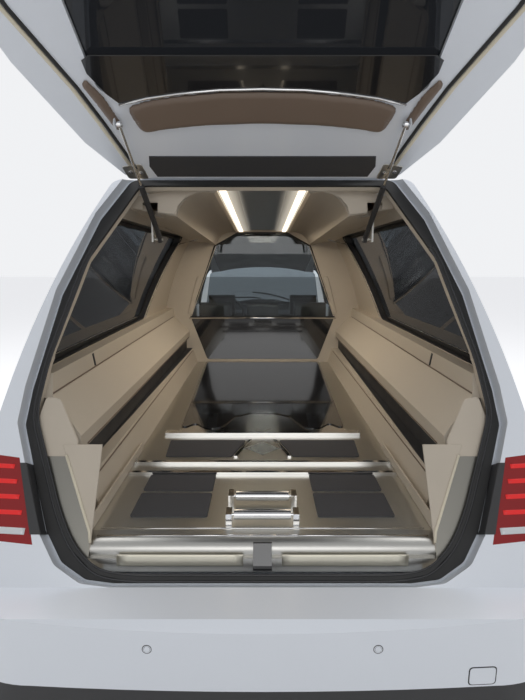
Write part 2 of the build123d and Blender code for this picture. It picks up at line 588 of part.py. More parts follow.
side_plate = tail_slab(opening_face, GATE_RECESS, GATE_RECESS + 6) & block(DECK_HALF - 18, 800, 0, 900, 600, 930)
for one in both(side_plate):
    sill += one
latch = across(outline([(186, 622), (240, 622), (240, 692), (214, 692)], 10), -27, 27)
latch = latch & tail_slab(opening_face, GATE_RECESS - 2, 400)
sill -= latch
save("load_sill", *solids_over(sill), latch)
lining_face = make_face(Polyline(
    (520, 700), (554, 812), (602, 812), (602, 900), (577, 900), (577, 950), (690, 1064), (700, 1128),
    (800, 1128), (800, 1056), (708, 1056), (622, 965), (622, 700), close=True))
lining = (along(lining_face, 200, PARTITION) - tail_back) & cabin
save("bay_linings", *both(solids_over(lining)[0]))

HEXAGON = [(190, 1710), (354, 1613), (563, 1051), (441, 720), (-441, 720), (-563, 1051), (-354, 1613), (-190, 1710)]
CHROME_LINE = 1051.0
partition_slab = cabin & block(-900, 900, PARTITION, PARTITION + PARTITION_THICKNESS, FLOOR_TOP, 2000)
hexagon = along(outline(HEXAGON, 25), PARTITION - 10, PARTITION + PARTITION_THICKNESS + 10)
save("partition_frame", *solids_over(partition_slab - hexagon))
save("partition_glass", hexagon & block(-900, 900, PARTITION + 10, PARTITION + 16, CHROME_LINE, 2000))
save("partition_board", hexagon & block(-900, 900, PARTITION + 6, PARTITION + 24, 0, CHROME_LINE))

moulding_face = make_face(Curve() + [
    Line((CEILING_HALF, 1712), (199, 1704)), ThreePointArc((199, 1704), (315, 1680), (354, 1613)),
    Line((354, 1613), (700, 1670)), Line((700, 1670), (700, 1690)), Line((700, 1690), (360, 1640)),
    ThreePointArc((360, 1640), (322, 1700), (205, 1726)), Line((205, 1726), (CEILING_HALF, 1726)),
    Line((CEILING_HALF, 1726), (CEILING_HALF, 1712)),
])
moulding = sloping(moulding_face, CEILING_REAR, PARTITION) & cabin
moulding -= block(STRUT_HALF - 22, STRUT_HALF + 22, CEILING_REAR - 10, STRUT_FOOT[0] + 20, 1500, 1800)
moulding = solids_over(moulding)[0]
save("ceiling_lining", *both(moulding))
bracket = block(STRUT_HALF + 26, STRUT_HALF + 34, STRUT_FOOT[0] - 18, STRUT_FOOT[0] + 18, STRUT_FOOT[1] - 12, 1760)
bracket = min((bracket - moulding).solids(), key=lambda one: one.center().Z)
bracket += bar_x(STRUT_HALF - 12, STRUT_HALF + 28, *STRUT_FOOT, 6)
save("strut_brackets", *both(bracket))


def flat_face(x0, x1, z0, z1):
    """A rectangle of half and height."""
    return Pos((x0 + x1) / 2, (z0 + z1) / 2) * Rectangle(x1 - x0, z1 - z0)


panel_face = flat_face(-CEILING_HALF, CEILING_HALF, CEILING_FRONT_HEIGHT, CEILING_FRONT_HEIGHT + 10)
panel_face -= flat_face(-100, 100, CEILING_FRONT_HEIGHT, CEILING_FRONT_HEIGHT + 4)
save("ceiling_panel", sloping(panel_face, CEILING_REAR, PARTITION))
strip_face = flat_face(150, 176, CEILING_FRONT_HEIGHT - 5, CEILING_FRONT_HEIGHT)
save("light_strips", *both(sloping(strip_face, CEILING_REAR, PARTITION)))

# Deck fittings
ROLLER_RADIUS = 16.0
ROLLER_HEIGHT = 729.0
fittings = []
for name, station in (("rear", 322), ("front", 440)):
    roller = bar_x(-87, 87, station, ROLLER_HEIGHT, ROLLER_RADIUS) + bar_x(-104, 104, station, ROLLER_HEIGHT, 6)
    save(f"roller_{name}", roller)
    for side in (-1, 1):
        x0, x1 = sorted((side * 94, side * 112))
        cheek = block(x0, x1, station - 22, station + 22, DECK_HEIGHT, ROLLER_HEIGHT + 12)
        fittings.append(cheek - bar_x(-105, 105, station, ROLLER_HEIGHT, 6 + RUNNING_FIT))
for station, half in ((668, 526 - 20), (763, 500)):
    fittings.append(block(-half, half, station - 8, station + 8, DECK_HEIGHT, DECK_HEIGHT + 10))
fittings.append(block(-450, 450, 1070, 1096, DECK_HEIGHT, DECK_HEIGHT + 14))
slant = make_face(Polyline((104, 826), (118, 826), (62, 1010), (48, 1010), close=True))
fittings += both(upward(slant, DECK_HEIGHT, DECK_HEIGHT + 6))
fittings += both(block(502, 518, 742, 784, DECK_HEIGHT, DECK_HEIGHT + 16))
save("deck_fittings", *fittings)
# Mats as plan outlines of half and station; the far pair's inner edges slant along a chrome strip.
MAT_THICKNESS = 4.0
MAT_OUTLINES = [
    [(175, 355), (420, 355), (420, 510), (175, 510)],
    [(175, 530), (420, 530), (420, 655), (175, 655)],
    [(128, 828), (400, 828), (412, 1008), (74, 1008)],
]
mats = [upward(outline(corners, 8), DECK_HEIGHT, DECK_HEIGHT + MAT_THICKNESS) for corners in MAT_OUTLINES]
save("deck_mats", *(mats + mirrored(mats)))

# Gloss board that the coffin rests on: two round lobes at its rear, round which a steel plate is cut in waves
BOARD_HALF_OUTLINE = [(60, 1392), (140, 1335), (176, 1225), (200, 1168), (240, 1150), (280, 1166), (322, 1220),
                      (340, 1216), (392, 1150), (447, 2690)]
BOARD_CORNER = 16.0
BOARD_THICKNESS = 8.0
PLATE_THICKNESS = 3.0
board_corners = BOARD_HALF_OUTLINE + [(-half, station) for half, station in reversed(BOARD_HALF_OUTLINE)]
deck_board = upward(outline(board_corners, BOARD_CORNER), DECK_HEIGHT, DECK_HEIGHT + BOARD_THICKNESS)
save("deck_board", deck_board)
wave = block(-452, 452, 1100, 1388, DECK_HEIGHT, DECK_HEIGHT + PLATE_THICKNESS)
wave -= upward(outline(grown(board_corners, 2), BOARD_CORNER), 600, 800)
for cut in both(block(392, 500, 1140, 1400, 600, 800)):
    wave -= cut
wave = solids_over(wave)[0]
for centre, size in ((1160, 42), (918, 76)):
    diamond = make_face(Polyline((0, centre - size), (size, centre), (0, centre + size), (-size, centre), close=True))
    rise = PLATE_THICKNESS if centre > 1100 else 0
    shape = upward(diamond, DECK_HEIGHT + rise, DECK_HEIGHT + rise + 2)
    wave += shape
save("wave_plate", *wave.solids())

# Seal round the opening, lamps
seal_face = outline(tail_points(GATE_TABLE), GATE_CORNER) - opening_face
bead_face = outline(grown(tail_points(OPENING_TABLE), 12), GATE_CORNER + 12) - opening_face
seal = tail_slab(seal_face, GATE_RECESS - 4, GATE_RECESS)
seal += tail_slab(bead_face, GATE_RECESS - SEAL_THICKNESS, GATE_RECESS - 4)
save("opening_seal", seal)

# Tailgate, built shut on the tail plane and then swung open about the hinge line
hinge_line = Pos(0, *TAIL_HINGE) * Rot(-GATE_OPENED, 0, 0) * Pos(0, -TAIL_HINGE[0], -TAIL_HINGE[1])
glass_face = outline([(-490, 395), (490, 395), (490, 1330), (-490, 1330)], 40)
gate = tail_slab(gate_face, 0, GATE_THICKNESS) - tail_slab(glass_face, -10, GATE_THICKNESS + 10)
eye = (tail_plane(STRUT_EYE[1]) * Pos(0, STRUT_EYE[0], 0)).position
stud_plate = tail_plane(STRUT_EYE[1] + 8) * Pos(-STRUT_HALF - 14, STRUT_EYE[0]) * Rectangle(5, 24)
stud = extrude(stud_plate, amount=STRUT_EYE[1] + 8 - GATE_THICKNESS)
stud += bar_x(STRUT_HALF - 8, STRUT_HALF + 14, eye.Y, eye.Z, STUD_RADIUS)
for one in both(stud):
    gate += one
for side in (-1, 1):
    x0, x1 = sorted((side * HINGE_EYE[0], side * HINGE_EYE[1]))
    gate -= bar_x(x0 - 14, x1 + 14, *TAIL_HINGE, HINGE_RADIUS + 4)
    gate += bar_x(x0, x1, *TAIL_HINGE, HINGE_RADIUS)
    gate += tail_slab(Pos(-(x0 + x1) / 2, 13) * Rectangle(x1 - x0, 24), 0, 8)
    gate -= bar_x(x0 - 20, x1 + 20, *TAIL_HINGE, HINGE_PIN + RUNNING_FIT)
save("tailgate", hinge_line * gate)
save("tailgate_glass", hinge_line * tail_slab(glass_face, 12, 18))
trim = tail_slab(outline([(-457, 243), (457, 243), (457, 332), (400, 388), (-400, 388), (-457, 332)], 12),
                 GATE_THICKNESS, GATE_THICKNESS + 8)
pad = tail_slab(outline([(505, 335), (560, 335), (580, 440), (505, 440)], 12), GATE_THICKNESS, GATE_THICKNESS + 14)
save("tailgate_lining", hinge_line * trim, *[hinge_line * one for one in both(pad)])

eye_open = (hinge_line * Pos(0, eye.Y, eye.Z)).position
reach = Vector(0, eye_open.Y - STRUT_FOOT[0], eye_open.Z - STRUT_FOOT[1])
way = reach.normalized()
foot = Vector(STRUT_HALF, *STRUT_FOOT)
tube = extrude(Plane(origin=foot + way * 14, z_dir=way) * Circle(TUBE_RADIUS), amount=TUBE_LENGTH)
tube -= extrude(Plane(origin=foot + way * 24, z_dir=way) * Circle(ROD_RADIUS + RUNNING_FIT), amount=TUBE_LENGTH)
tube += bar_x(STRUT_HALF - 8, STRUT_HALF + 8, *STRUT_FOOT, 15)
tube -= bar_x(STRUT_HALF - 20, STRUT_HALF + 20, *STRUT_FOOT, 6 + RUNNING_FIT)
rod_start = foot + way * (reach.length - STRUT_STROKE - 50)
piston = extrude(Plane(origin=rod_start, z_dir=way) * Circle(ROD_RADIUS), amount=STRUT_STROKE + 49 - EYE_BORE)
piston += bar_x(STRUT_HALF - 6, STRUT_HALF + 6, eye_open.Y, eye_open.Z, EYE_RADIUS)
piston -= bar_x(STRUT_HALF - 20, STRUT_HALF + 20, eye_open.Y, eye_open.Z, EYE_BORE)
for side_name, side in (("right", 1), ("left", -1)):
    save(f"strut_tube_{side_name}", tube if side > 0 else mirror(tube, about=Plane.YZ))
    save(f"strut_rod_{side_name}", piston if side > 0 else mirror(piston, about=Plane.YZ))
print("origin station", ORIGIN_STATION, "eye open", eye_open, "eye shut", eye)
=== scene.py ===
# %% [markdown]
# # A coachbuilt hearse, dressed in Blender
# The CAD model gives every panel, joint and size. This script gives the looks: paint, steel, leather and glass,
# and the small trim that a body shop would fit last. Everything is in metres, in the frame that the CAD uses.

# %% Load the frame
import bmesh
import bpy
import math
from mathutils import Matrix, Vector
from mathutils.bvhtree import BVHTree


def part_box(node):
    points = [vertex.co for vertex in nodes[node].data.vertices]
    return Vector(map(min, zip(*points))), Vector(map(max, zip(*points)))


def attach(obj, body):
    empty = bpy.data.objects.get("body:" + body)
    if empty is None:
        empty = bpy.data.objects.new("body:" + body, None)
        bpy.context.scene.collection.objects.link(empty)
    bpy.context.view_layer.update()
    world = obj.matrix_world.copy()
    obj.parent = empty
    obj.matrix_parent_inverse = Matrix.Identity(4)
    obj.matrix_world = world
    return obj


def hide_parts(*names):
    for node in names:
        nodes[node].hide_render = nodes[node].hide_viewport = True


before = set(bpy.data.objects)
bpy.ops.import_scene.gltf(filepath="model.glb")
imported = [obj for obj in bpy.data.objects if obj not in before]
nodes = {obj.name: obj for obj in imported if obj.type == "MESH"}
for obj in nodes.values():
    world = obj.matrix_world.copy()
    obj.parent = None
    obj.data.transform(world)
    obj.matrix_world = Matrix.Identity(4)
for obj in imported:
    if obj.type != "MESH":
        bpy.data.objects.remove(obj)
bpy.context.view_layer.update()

# %% [markdown]
# ## Stations
# A coachbuilder measures along the car from the rear bumper's face. The frame's origin lies further forward, so
# one helper turns a station into the frame's Y. Heights and distances from the centre plane stay as they are.

# %% Stations, headings and the frame's places
ORIGIN_STATION = 2.8615
BACK, FORWARD, UP = Vector((0, -1, 0)), Vector((0, 1, 0)), Vector((0, 0, 1))


def at(x, station, z):
    """A place in the frame from a half, a station and a height, in metres."""
    return Vector((x, station - ORIGIN_STATION, z))


print("rear bumper's face at Y", round(at(0, 0, 0).y, 3))

# %% [markdown]
# ## Camera
# The photograph was taken standing close behind the car. Its vanishing lines give a wide lens, an eye height of
# 1.5 m and a slight tilt down, so that the roof's far end and the bumper both fit the frame.

# %% Camera
EYE = at(0, -1.04, 1.50)
PITCH_DOWN = math.radians(10.62)
LENS_MM = 24.69
SENSOR_MM = 36.0

camera_data = bpy.data.cameras.new("camera")
camera_data.lens = LENS_MM
camera_data.sensor_width = SENSOR_MM
camera = bpy.data.objects.new("camera", camera_data)
camera.location = EYE
camera.rotation_euler = (math.pi / 2 - PITCH_DOWN, 0, 0)
bpy.context.scene.collection.objects.link(camera)
bpy.context.scene.camera = camera
print("camera at", [round(v, 3) for v in EYE])

# %% [markdown]
# ## Floor and light
# A plain pale floor keeps the shadow, and large soft lamps light the car from above and both sides. One lamp looks
# into the tail, because a load bay that is lit only from outside turns black. The world is a pale grey dome.

# %% Helpers for node trees and lamps
def node_material(name):
    """A new material with an empty node tree but for its Principled BSDF and output."""
    material = bpy.data.materials.new(name)
    material.use_nodes = True
    return material, material.node_tree, material.node_tree.nodes["Principled BSDF"]


def add_node(tree, kind, **values):
    """A node with some of its input sockets set; a socket's spaces are underscores here."""
    made = tree.nodes.new("ShaderNode" + kind)
    for socket, value in values.items():
        made.inputs[socket.replace("_", " ")].default_value = value
    return made


def math_node(tree, operation, first, second=0.0):
    """A math node fed by sockets or plain numbers."""
    made = add_node(tree, "Math")
    made.operation = operation
    for slot, value in enumerate((first, second)):
        if isinstance(value, (int, float)):
            made.inputs[slot].default_value = value
        else:
            tree.links.new(value, made.inputs[slot])
    return made.outputs[0]


def add_lamp(name, place, aim, power, size, colour=(1, 1, 1)):
    """An area lamp that looks at a point."""
    data = bpy.data.lights.new(name, "AREA")
    data.energy = power
    data.color = colour
    data.shape = "RECTANGLE"
    data.size, data.size_y = size
    lamp = bpy.data.objects.new(name, data)
    lamp.location = place
    lamp.rotation_euler = (Vector(aim) - Vector(place)).to_track_quat("-Z", "Y").to_euler()
    bpy.context.scene.collection.objects.link(lamp)
    return lamp


# %% Floor, lamps and world
FLOOR_GREY, FLOOR_GLOW, FLOOR_TINT = 0.80, 0.42, (0.95, 0.96, 1.0, 1)
HALF_FLOOR = 40.0
DOME_LIGHT, DOME_SEEN, DOME_TINT = 0.55, 0.95, (0.92, 0.93, 0.95, 1)

floor_mesh = bpy.data.meshes.new("floor")
floor_mesh.from_pydata([(x * HALF_FLOOR, y * HALF_FLOOR, 0) for x, y in ((-1, -1), (1, -1), (1, 1), (-1, 1))], [],
                       [(0, 1, 2, 3)])
floor = bpy.data.objects.new("floor", floor_mesh)
bpy.context.scene.collection.objects.link(floor)
floor_material, floor_tree, floor_shader = node_material("floor pale")
floor_shader.inputs["Base Color"].default_value = (FLOOR_GREY, FLOOR_GREY, FLOOR_GREY, 1)
floor_shader.inputs["Roughness"].default_value = 0.75
rays = add_node(floor_tree, "LightPath")
floor_tree.links.new(math_node(floor_tree, "MULTIPLY", rays.outputs["Is Camera Ray"], FLOOR_GLOW),
                     floor_shader.inputs["Emission Strength"])
floor_shader.inputs["Emission Color"].default_value = FLOOR_TINT
floor_mesh.materials.append(floor_material)

add_lamp("lamp_top", at(0, 2.5, 6.0), at(0, 2.5, 0), 170, (8.0, 5.0))
add_lamp("lamp_left", at(-6.5, 1.0, 3.2), at(0, 2.0, 0.8), 60, (6.0, 3.0))
add_lamp("lamp_right", at(6.5, 1.0, 3.2), at(0, 2.0, 0.8), 60, (6.0, 3.0))
add_lamp("lamp_tail", at(0, -4.6, 2.6), at(0, 1.0, 1.0), 45, (4.0, 2.0))

world = bpy.data.worlds.new("pale dome")
bpy.context.scene.world = world
world.use_nodes = True
dome = world.node_tree
background = dome.nodes["Background"]
rays = add_node(dome, "LightPath")
seen = math_node(dome, "MAXIMUM", rays.outputs["Is Camera Ray"], rays.outputs["Is Transmission Ray"])
strength = add_node(dome, "MapRange", To_Min=DOME_LIGHT, To_Max=DOME_SEEN)
dome.links.new(seen, strength.inputs["Value"])
dome.links.new(strength.outputs["Result"], background.inputs["Strength"])
background.inputs["Color"].default_value = DOME_TINT
bpy.context.scene.view_settings.view_transform = "Standard"

# %% [markdown]
# ## Shared surface effects
# Several finishes need the same small effects: a leather's pebble, a brushed metal's streaks, a moulded plastic's
# fine grain and a coat of dust that lies on what faces up. Each is built once as a node group that puts out only a
# value or a colour, so one change is seen everywhere.

# %% A helper for node groups
def new_group(name, inputs, outputs):
    """An empty shader group with named sockets."""
    group = bpy.data.node_groups.new(name, "ShaderNodeTree")
    for socket, kind, value in inputs:
        made = group.interface.new_socket(socket, in_out="INPUT", socket_type=kind)
        made.default_value = value
    for socket, kind in outputs:
        group.interface.new_socket(socket, in_out="OUTPUT", socket_type=kind)
    return group, group.nodes.new("NodeGroupInput"), group.nodes.new("NodeGroupOutput")


# %% [markdown]
# ### Pebble
# Leather and moulded plastic share a pebbled skin: cells of a Voronoi pattern, softened by noise. The group gives a
# height for a Bump node and a gentle tint that follows the valleys.

# %% Pebble group
FLOAT = "NodeSocketFloat"
pebble, source, sink = new_group(
    "pebble", [("Scale", FLOAT, 600.0), ("Softness", FLOAT, 0.5)], [("Height", FLOAT), ("Tint", FLOAT)])
place = add_node(pebble, "TexCoord")
cells = add_node(pebble, "TexVoronoi")
cells.feature = "SMOOTH_F1"
cells.inputs["Smoothness"].default_value = 0.6
pebble.links.new(place.outputs["Object"], cells.inputs["Vector"])
pebble.links.new(source.outputs["Scale"], cells.inputs["Scale"])
clouds = add_node(pebble, "TexNoise", Scale=7.0, Detail=4.0)
pebble.links.new(place.outputs["Object"], clouds.inputs["Vector"])
pebble.links.new(math_node(pebble, "MULTIPLY", cells.outputs["Distance"], source.outputs["Softness"]),
                 sink.inputs["Height"])
pebble.links.new(clouds.outputs["Fac"], sink.inputs["Tint"])

# %% [markdown]
# ### Streaks
# Brushed metal is drawn over a belt, so its scratches all run one way. Noise stretched a hundredfold along one axis
# gives them, and the amounts across and along are inputs because deck, sill and ceiling are brushed differently.

# %% Streak group
streaks, source, sink = new_group(
    "streaks", [("Along X", FLOAT, 6.0), ("Along Y", FLOAT, 600.0), ("Along Z", FLOAT, 600.0)],
    [("Height", FLOAT), ("Sheen", FLOAT)])
place = add_node(streaks, "TexCoord")
stretch = add_node(streaks, "VectorMath")
stretch.operation = "MULTIPLY"
amounts = add_node(streaks, "CombineXYZ")
for axis in "XYZ":
    streaks.links.new(source.outputs[f"Along {axis}"], amounts.inputs[axis])
streaks.links.new(place.outputs["Object"], stretch.inputs[0])
streaks.links.new(amounts.outputs[0], stretch.inputs[1])
fine = add_node(streaks, "TexNoise", Scale=1.0, Detail=3.0)
streaks.links.new(stretch.outputs[0], fine.inputs["Vector"])
broad = add_node(streaks, "TexNoise", Scale=2.2)
streaks.links.new(place.outputs["Object"], broad.inputs["Vector"])
streaks.links.new(fine.outputs["Fac"], sink.inputs["Height"])
streaks.links.new(math_node(streaks, "ADD", math_node(streaks, "MULTIPLY", fine.outputs["Fac"], 0.6),
                            math_node(streaks, "MULTIPLY", broad.outputs["Fac"], 0.4)), sink.inputs["Sheen"])

# %% [markdown]
# ### Film of dust
# Even a polished car carries a thin film where surfaces face up. The mask grows with the surface normal's Z and is
# broken by noise, so it never reads as paint.

# %% Dust group
dust, source, sink = new_group("dust film", [("Amount", FLOAT, 0.15)], [("Mask", FLOAT)])
facing = add_node(dust, "NewGeometry")
split = add_node(dust, "SeparateXYZ")
dust.links.new(facing.outputs["Normal"], split.inputs[0])
place = add_node(dust, "TexCoord")
patch = add_node(dust, "TexNoise", Scale=9.0, Detail=5.0)
dust.links.new(place.outputs["Object"], patch.inputs["Vector"])
upward = math_node(dust, "MAXIMUM", split.outputs["Z"], 0.0)
dust.links.new(math_node(dust, "MULTIPLY", math_node(dust, "MULTIPLY", upward, patch.outputs["Fac"]),
                         source.outputs["Amount"]), sink.inputs["Mask"])

# %% [markdown]
# ## Finishes
# Each finish is a short recipe on the same helper: a base colour, a metal or not, a roughness that varies a little,
# and a bump. Numbers that are the same all over stay on the shader's own sockets.

# %% Helpers that place a group, spread a mask, mix colours and add a bump
def place_group(tree, group, **values):
    """A shared effect in a material's tree, with some of its inputs set."""
    made = tree.nodes.new("ShaderNodeGroup")
    made.node_tree = group
    for socket, value in values.items():
        made.inputs[socket.replace("_", " ")].default_value = value
    return made


def vary(tree, mask, low, high, target):
    """Spread a mask from 0 to 1 over a range of values, into a socket."""
    ramp = add_node(tree, "MapRange", From_Min=0.25, From_Max=0.75, To_Min=low, To_Max=high)
    tree.links.new(mask, ramp.inputs["Value"])
    tree.links.new(ramp.outputs["Result"], target)


def tint(tree, mask, dark, light, target):
    """Mix two colours by a mask, into a colour socket."""
    mixed = add_node(tree, "Mix")
    mixed.data_type = "RGBA"
    mixed.inputs["A"].default_value = (*dark, 1)
    mixed.inputs["B"].default_value = (*light, 1)
    tree.links.new(mask, mixed.inputs["Factor"])
    tree.links.new(mixed.outputs["Result"], target)


def bump(tree, shader, height, strength, distance):
    """Raise the shading by a height, over a distance in metres."""
    made = add_node(tree, "Bump", Strength=strength, Distance=distance)
    tree.links.new(height, made.inputs["Height"])
    tree.links.new(made.outputs["Normal"], shader.inputs["Normal"])


def shade(colour, factor):
    """A colour made lighter or darker, held below pure white."""
    return tuple(min(1.0, channel * factor) for channel in colour)


finishes = {}

# %% [markdown]
# ### Paint
# The body is a silver-white metallic under clear lacquer. Small flakes come from a fine noise that lifts the colour,
# and the lacquer is the shader's coat.

# %% Silver-white paint
def make_paint(name, colour, flakes=0.05):
    """Metallic paint under a soft lacquer."""
    material, tree, shader = node_material(name)
    grain = place_group(tree, streaks, Along_X=900.0, Along_Y=900.0, Along_Z=900.0)
    film = place_group(tree, dust, Amount=0.10)
    tint(tree, math_node(tree, "ADD", grain.outputs["Height"], film.outputs["Mask"]),
         shade(colour, 1 - flakes), shade(colour, 1 + flakes), shader.inputs["Base Color"])
    shader.inputs["Metallic"].default_value = 0.20
    vary(tree, grain.outputs["Sheen"], 0.34, 0.42, shader.inputs["Roughness"])
    shader.inputs["Coat Weight"].default_value = 0.4
    shader.inputs["Coat Roughness"].default_value = 0.12
    bump(tree, shader, grain.outputs["Sheen"], 0.05, 0.0004)
    finishes[name] = material
    return material


paint = make_paint("silver paint", (0.74, 0.775, 0.83))
print("paint", paint.name)

# %% [markdown]
# ### Brushed and polished metals
# The deck, sill and ceiling are stainless steel, brushed along the car or across it. The bars and frames are chrome
# with faint wiping marks.

# %% Metals
def make_steel(name, colour, along, low, high, depth=0.15):
    """Brushed steel: along is X, Y or Z, the way that the belt ran."""
    material, tree, shader = node_material(name)
    amounts = {f"Along_{axis}": 5.0 if axis == along else 420.0 for axis in "XYZ"}
    lines = place_group(tree, streaks, **amounts)
    tint(tree, lines.outputs["Sheen"], shade(colour, 0.90), shade(colour, 1.06), shader.inputs["Base Color"])
    shader.inputs["Metallic"].default_value = 1.0
    vary(tree, lines.outputs["Sheen"], low, high, shader.inputs["Roughness"])
    bump(tree, shader, lines.outputs["Height"], depth, 0.0002)
    finishes[name] = material
    return material


deck_steel = make_steel("deck steel", (0.78, 0.765, 0.715), "Y", 0.28, 0.42, 0.08)
sill_steel = make_steel("sill steel", (0.58, 0.57, 0.54), "X", 0.26, 0.40, 0.08)
kick_steel = make_steel("kick plate steel", (0.80, 0.76, 0.64), "X", 0.34, 0.46, 0.08)
polished_steel = make_steel("polished steel", (0.80, 0.80, 0.79), "X", 0.08, 0.16, 0.03)
plate_steel = make_steel("plate steel", (0.30, 0.29, 0.26), "Z", 0.34, 0.48, 0.05)
ceiling_steel = make_steel("ceiling steel", (0.74, 0.72, 0.68), "Y", 0.28, 0.42)
alloy = make_steel("wheel alloy", (0.58, 0.59, 0.60), "X", 0.25, 0.38)
chrome = make_steel("chrome", (0.80, 0.80, 0.80), "X", 0.05, 0.11)
dark_iron = make_steel("dark iron", (0.10, 0.10, 0.105), "X", 0.45, 0.65)
print("metals, each with its roughness from low to high")

# %% [markdown]
# The ceiling's steel carries a painted wash of warm light along both strips: it glows by an emission of its own, which
# stands in for the strips' light and reflection on it. A gradient across the panel gives that wash a place, so it
# stays where the strips are.

# %% Painted wash of light on the ceiling
WASH_START, WASH_END, WASH_POWER = 0.07, 0.16, 0.55
WARM = (1.0, 0.90, 0.74, 1)

ceiling_tree = ceiling_steel.node_tree
ceiling_shader = ceiling_tree.nodes["Principled BSDF"]
where = add_node(ceiling_tree, "TexCoord")
parts = add_node(ceiling_tree, "SeparateXYZ")
ceiling_tree.links.new(where.outputs["Object"], parts.inputs[0])
wash = add_node(ceiling_tree, "MapRange", From_Min=WASH_START, From_Max=WASH_END, To_Max=WASH_POWER)
wash.interpolation_type = "SMOOTHSTEP"
ceiling_tree.links.new(math_node(ceiling_tree, "ABSOLUTE", parts.outputs["X"]), wash.inputs["Value"])
ceiling_tree.links.new(wash.outputs["Result"], ceiling_shader.inputs["Emission Strength"])
ceiling_shader.inputs["Emission Color"].default_value = WARM
print("wash from", WASH_START, "to", WASH_END, "m beside the centre")

# %% [markdown]
# ### Leather, plastic and rubber
# Upholstery, boards, seals and mats are all skins over a pebble of some size. Only colour, gloss and the depth of
# the pebble tell them apart.

# %% Skins
def make_skin(name, colour, scale, depth, low, high, strength=0.3, spread=0.06, coat=0.0):
    """A pebbled skin: pebble scale and depth, roughness from low to high, and a lacquer if it shines."""
    material, tree, shader = node_material(name)
    grain = place_group(tree, pebble, Scale=scale, Softness=0.8)
    film = place_group(tree, dust, Amount=0.12)
    tint(tree, math_node(tree, "ADD", grain.outputs["Tint"], film.outputs["Mask"]),
         shade(colour, 1 - spread), shade(colour, 1 + spread), shader.inputs["Base Color"])
    vary(tree, grain.outputs["Tint"], low, high, shader.inputs["Roughness"])
    bump(tree, shader, grain.outputs["Height"], strength, depth)
    shader.inputs["Coat Weight"].default_value = coat
    shader.inputs["Coat Roughness"].default_value = 0.03
    finishes[name] = material
    return material


beige_leather = make_skin("beige leather", (0.50, 0.44, 0.36), 900.0, 0.0006, 0.42, 0.56)
# Cream is the lining ends' own edge colour; on the gate's rails the same cream is a painted highlight.
cream = make_skin("cream edge", (0.66, 0.60, 0.47), 500.0, 0.0003, 0.35, 0.45)
# This brown is painted shade on the open gate's pads, whose leather is beige, and the pipings' own brown in the bay.
brown_and_shaded_beige_leather = make_skin("brown leather and painted-shade beige", (0.16, 0.115, 0.085), 800.0, 0.0008, 0.40, 0.55)
black_leather = make_skin("black leather", (0.030, 0.030, 0.032), 800.0, 0.0008, 0.38, 0.52)
black_board = make_skin("black gloss board", (0.010, 0.010, 0.011), 300.0, 0.0001, 0.06, 0.12, 0.05, 0.1, 1.0)
black_plastic = make_skin("black plastic", (0.035, 0.035, 0.037), 1400.0, 0.0004, 0.45, 0.60)
gloss_rubber = make_skin("gloss rubber", (0.030, 0.030, 0.032), 1200.0, 0.0002, 0.16, 0.24)
seal_rubber = make_skin("seal rubber", (0.018, 0.018, 0.018), 1200.0, 0.0003, 0.50, 0.65)
mat_rubber = make_skin("mat rubber", (0.055, 0.055, 0.060), 1500.0, 0.0008, 0.60, 0.75)
tyre_rubber = make_skin("tyre rubber", (0.025, 0.025, 0.026), 900.0, 0.0006, 0.65, 0.82)
underbody = make_skin("underbody coating", (0.060, 0.060, 0.064), 160.0, 0.0030, 0.65, 0.80)
print(len(finishes), "finishes so far")

# %% [markdown]
# ### Glass and light
# The bay's side panes are tinted almost black, and the tailgate's is darker still. The windscreen has a light tint and
# the partition is clear. The lamps have coloured lenses, and the ceiling's strips give a warm light of their own.

# %% Glass, lenses and strips
def make_glass(name, colour):
    """Solid glass whose colour is the tint."""
    material, tree, shader = node_material(name)
    grain = place_group(tree, streaks, Along_X=3.0, Along_Y=3.0, Along_Z=3.0)
    tint(tree, grain.outputs["Sheen"], shade(colour, 0.97), shade(colour, 1.03), shader.inputs["Base Color"])
    shader.inputs["Roughness"].default_value = 0.02
    shader.inputs["IOR"].default_value = 1.45
    shader.inputs["Transmission Weight"].default_value = 1.0
    finishes[name] = material
    return material


def make_glow(name, colour, power):
    """A lamp's diffuser that shines with a power of its own."""
    material, tree, shader = node_material(name)
    grain = place_group(tree, streaks, Along_X=40.0, Along_Y=40.0, Along_Z=40.0)
    tint(tree, grain.outputs["Sheen"], shade(colour, 0.95), colour, shader.inputs["Emission Color"])
    shader.inputs["Base Color"].default_value = (*colour, 1)
    shader.inputs["Roughness"].default_value = 0.4
    shader.inputs["Emission Strength"].default_value = power
    finishes[name] = material
    return material


tinted_glass = make_glass("tinted glass", (0.045, 0.047, 0.050))
privacy_glass = make_glass("privacy glass", (0.012, 0.013, 0.015))
clear_glass = make_glass("clear glass", (0.62, 0.68, 0.70))
shaded_glass = make_glass("shaded glass", (0.30, 0.34, 0.37))
lamp_smoke = make_skin("lamp smoke", (0.10, 0.105, 0.115), 60.0, 0.0002, 0.04, 0.09, 0.05, 0.08, 1.0)
red_lens = make_skin("red lens", (0.26, 0.002, 0.003), 60.0, 0.0002, 0.20, 0.28, 0.05, 0.08, 0.25)
clear_lens = make_skin("clear lens", (0.62, 0.64, 0.66), 60.0, 0.0002, 0.08, 0.14, 0.05, 0.08, 1.0)
warm_light = make_glow("warm light", (1.0, 0.86, 0.66), 2.6)
white_glow = make_glow("white glow", (0.95, 0.97, 1.0), 1.2)
red_glow = make_glow("red glow", (0.62, 0.012, 0.012), 0.30)
print(len(finishes), "finishes")

# %% [markdown]
# ## Dressing the CAD nodes
# A CAD node keeps its mesh and gets its finish by its material slot, one finish for the whole node to begin with. The
# table goes by finish, so that all nodes of one finish are seen together.

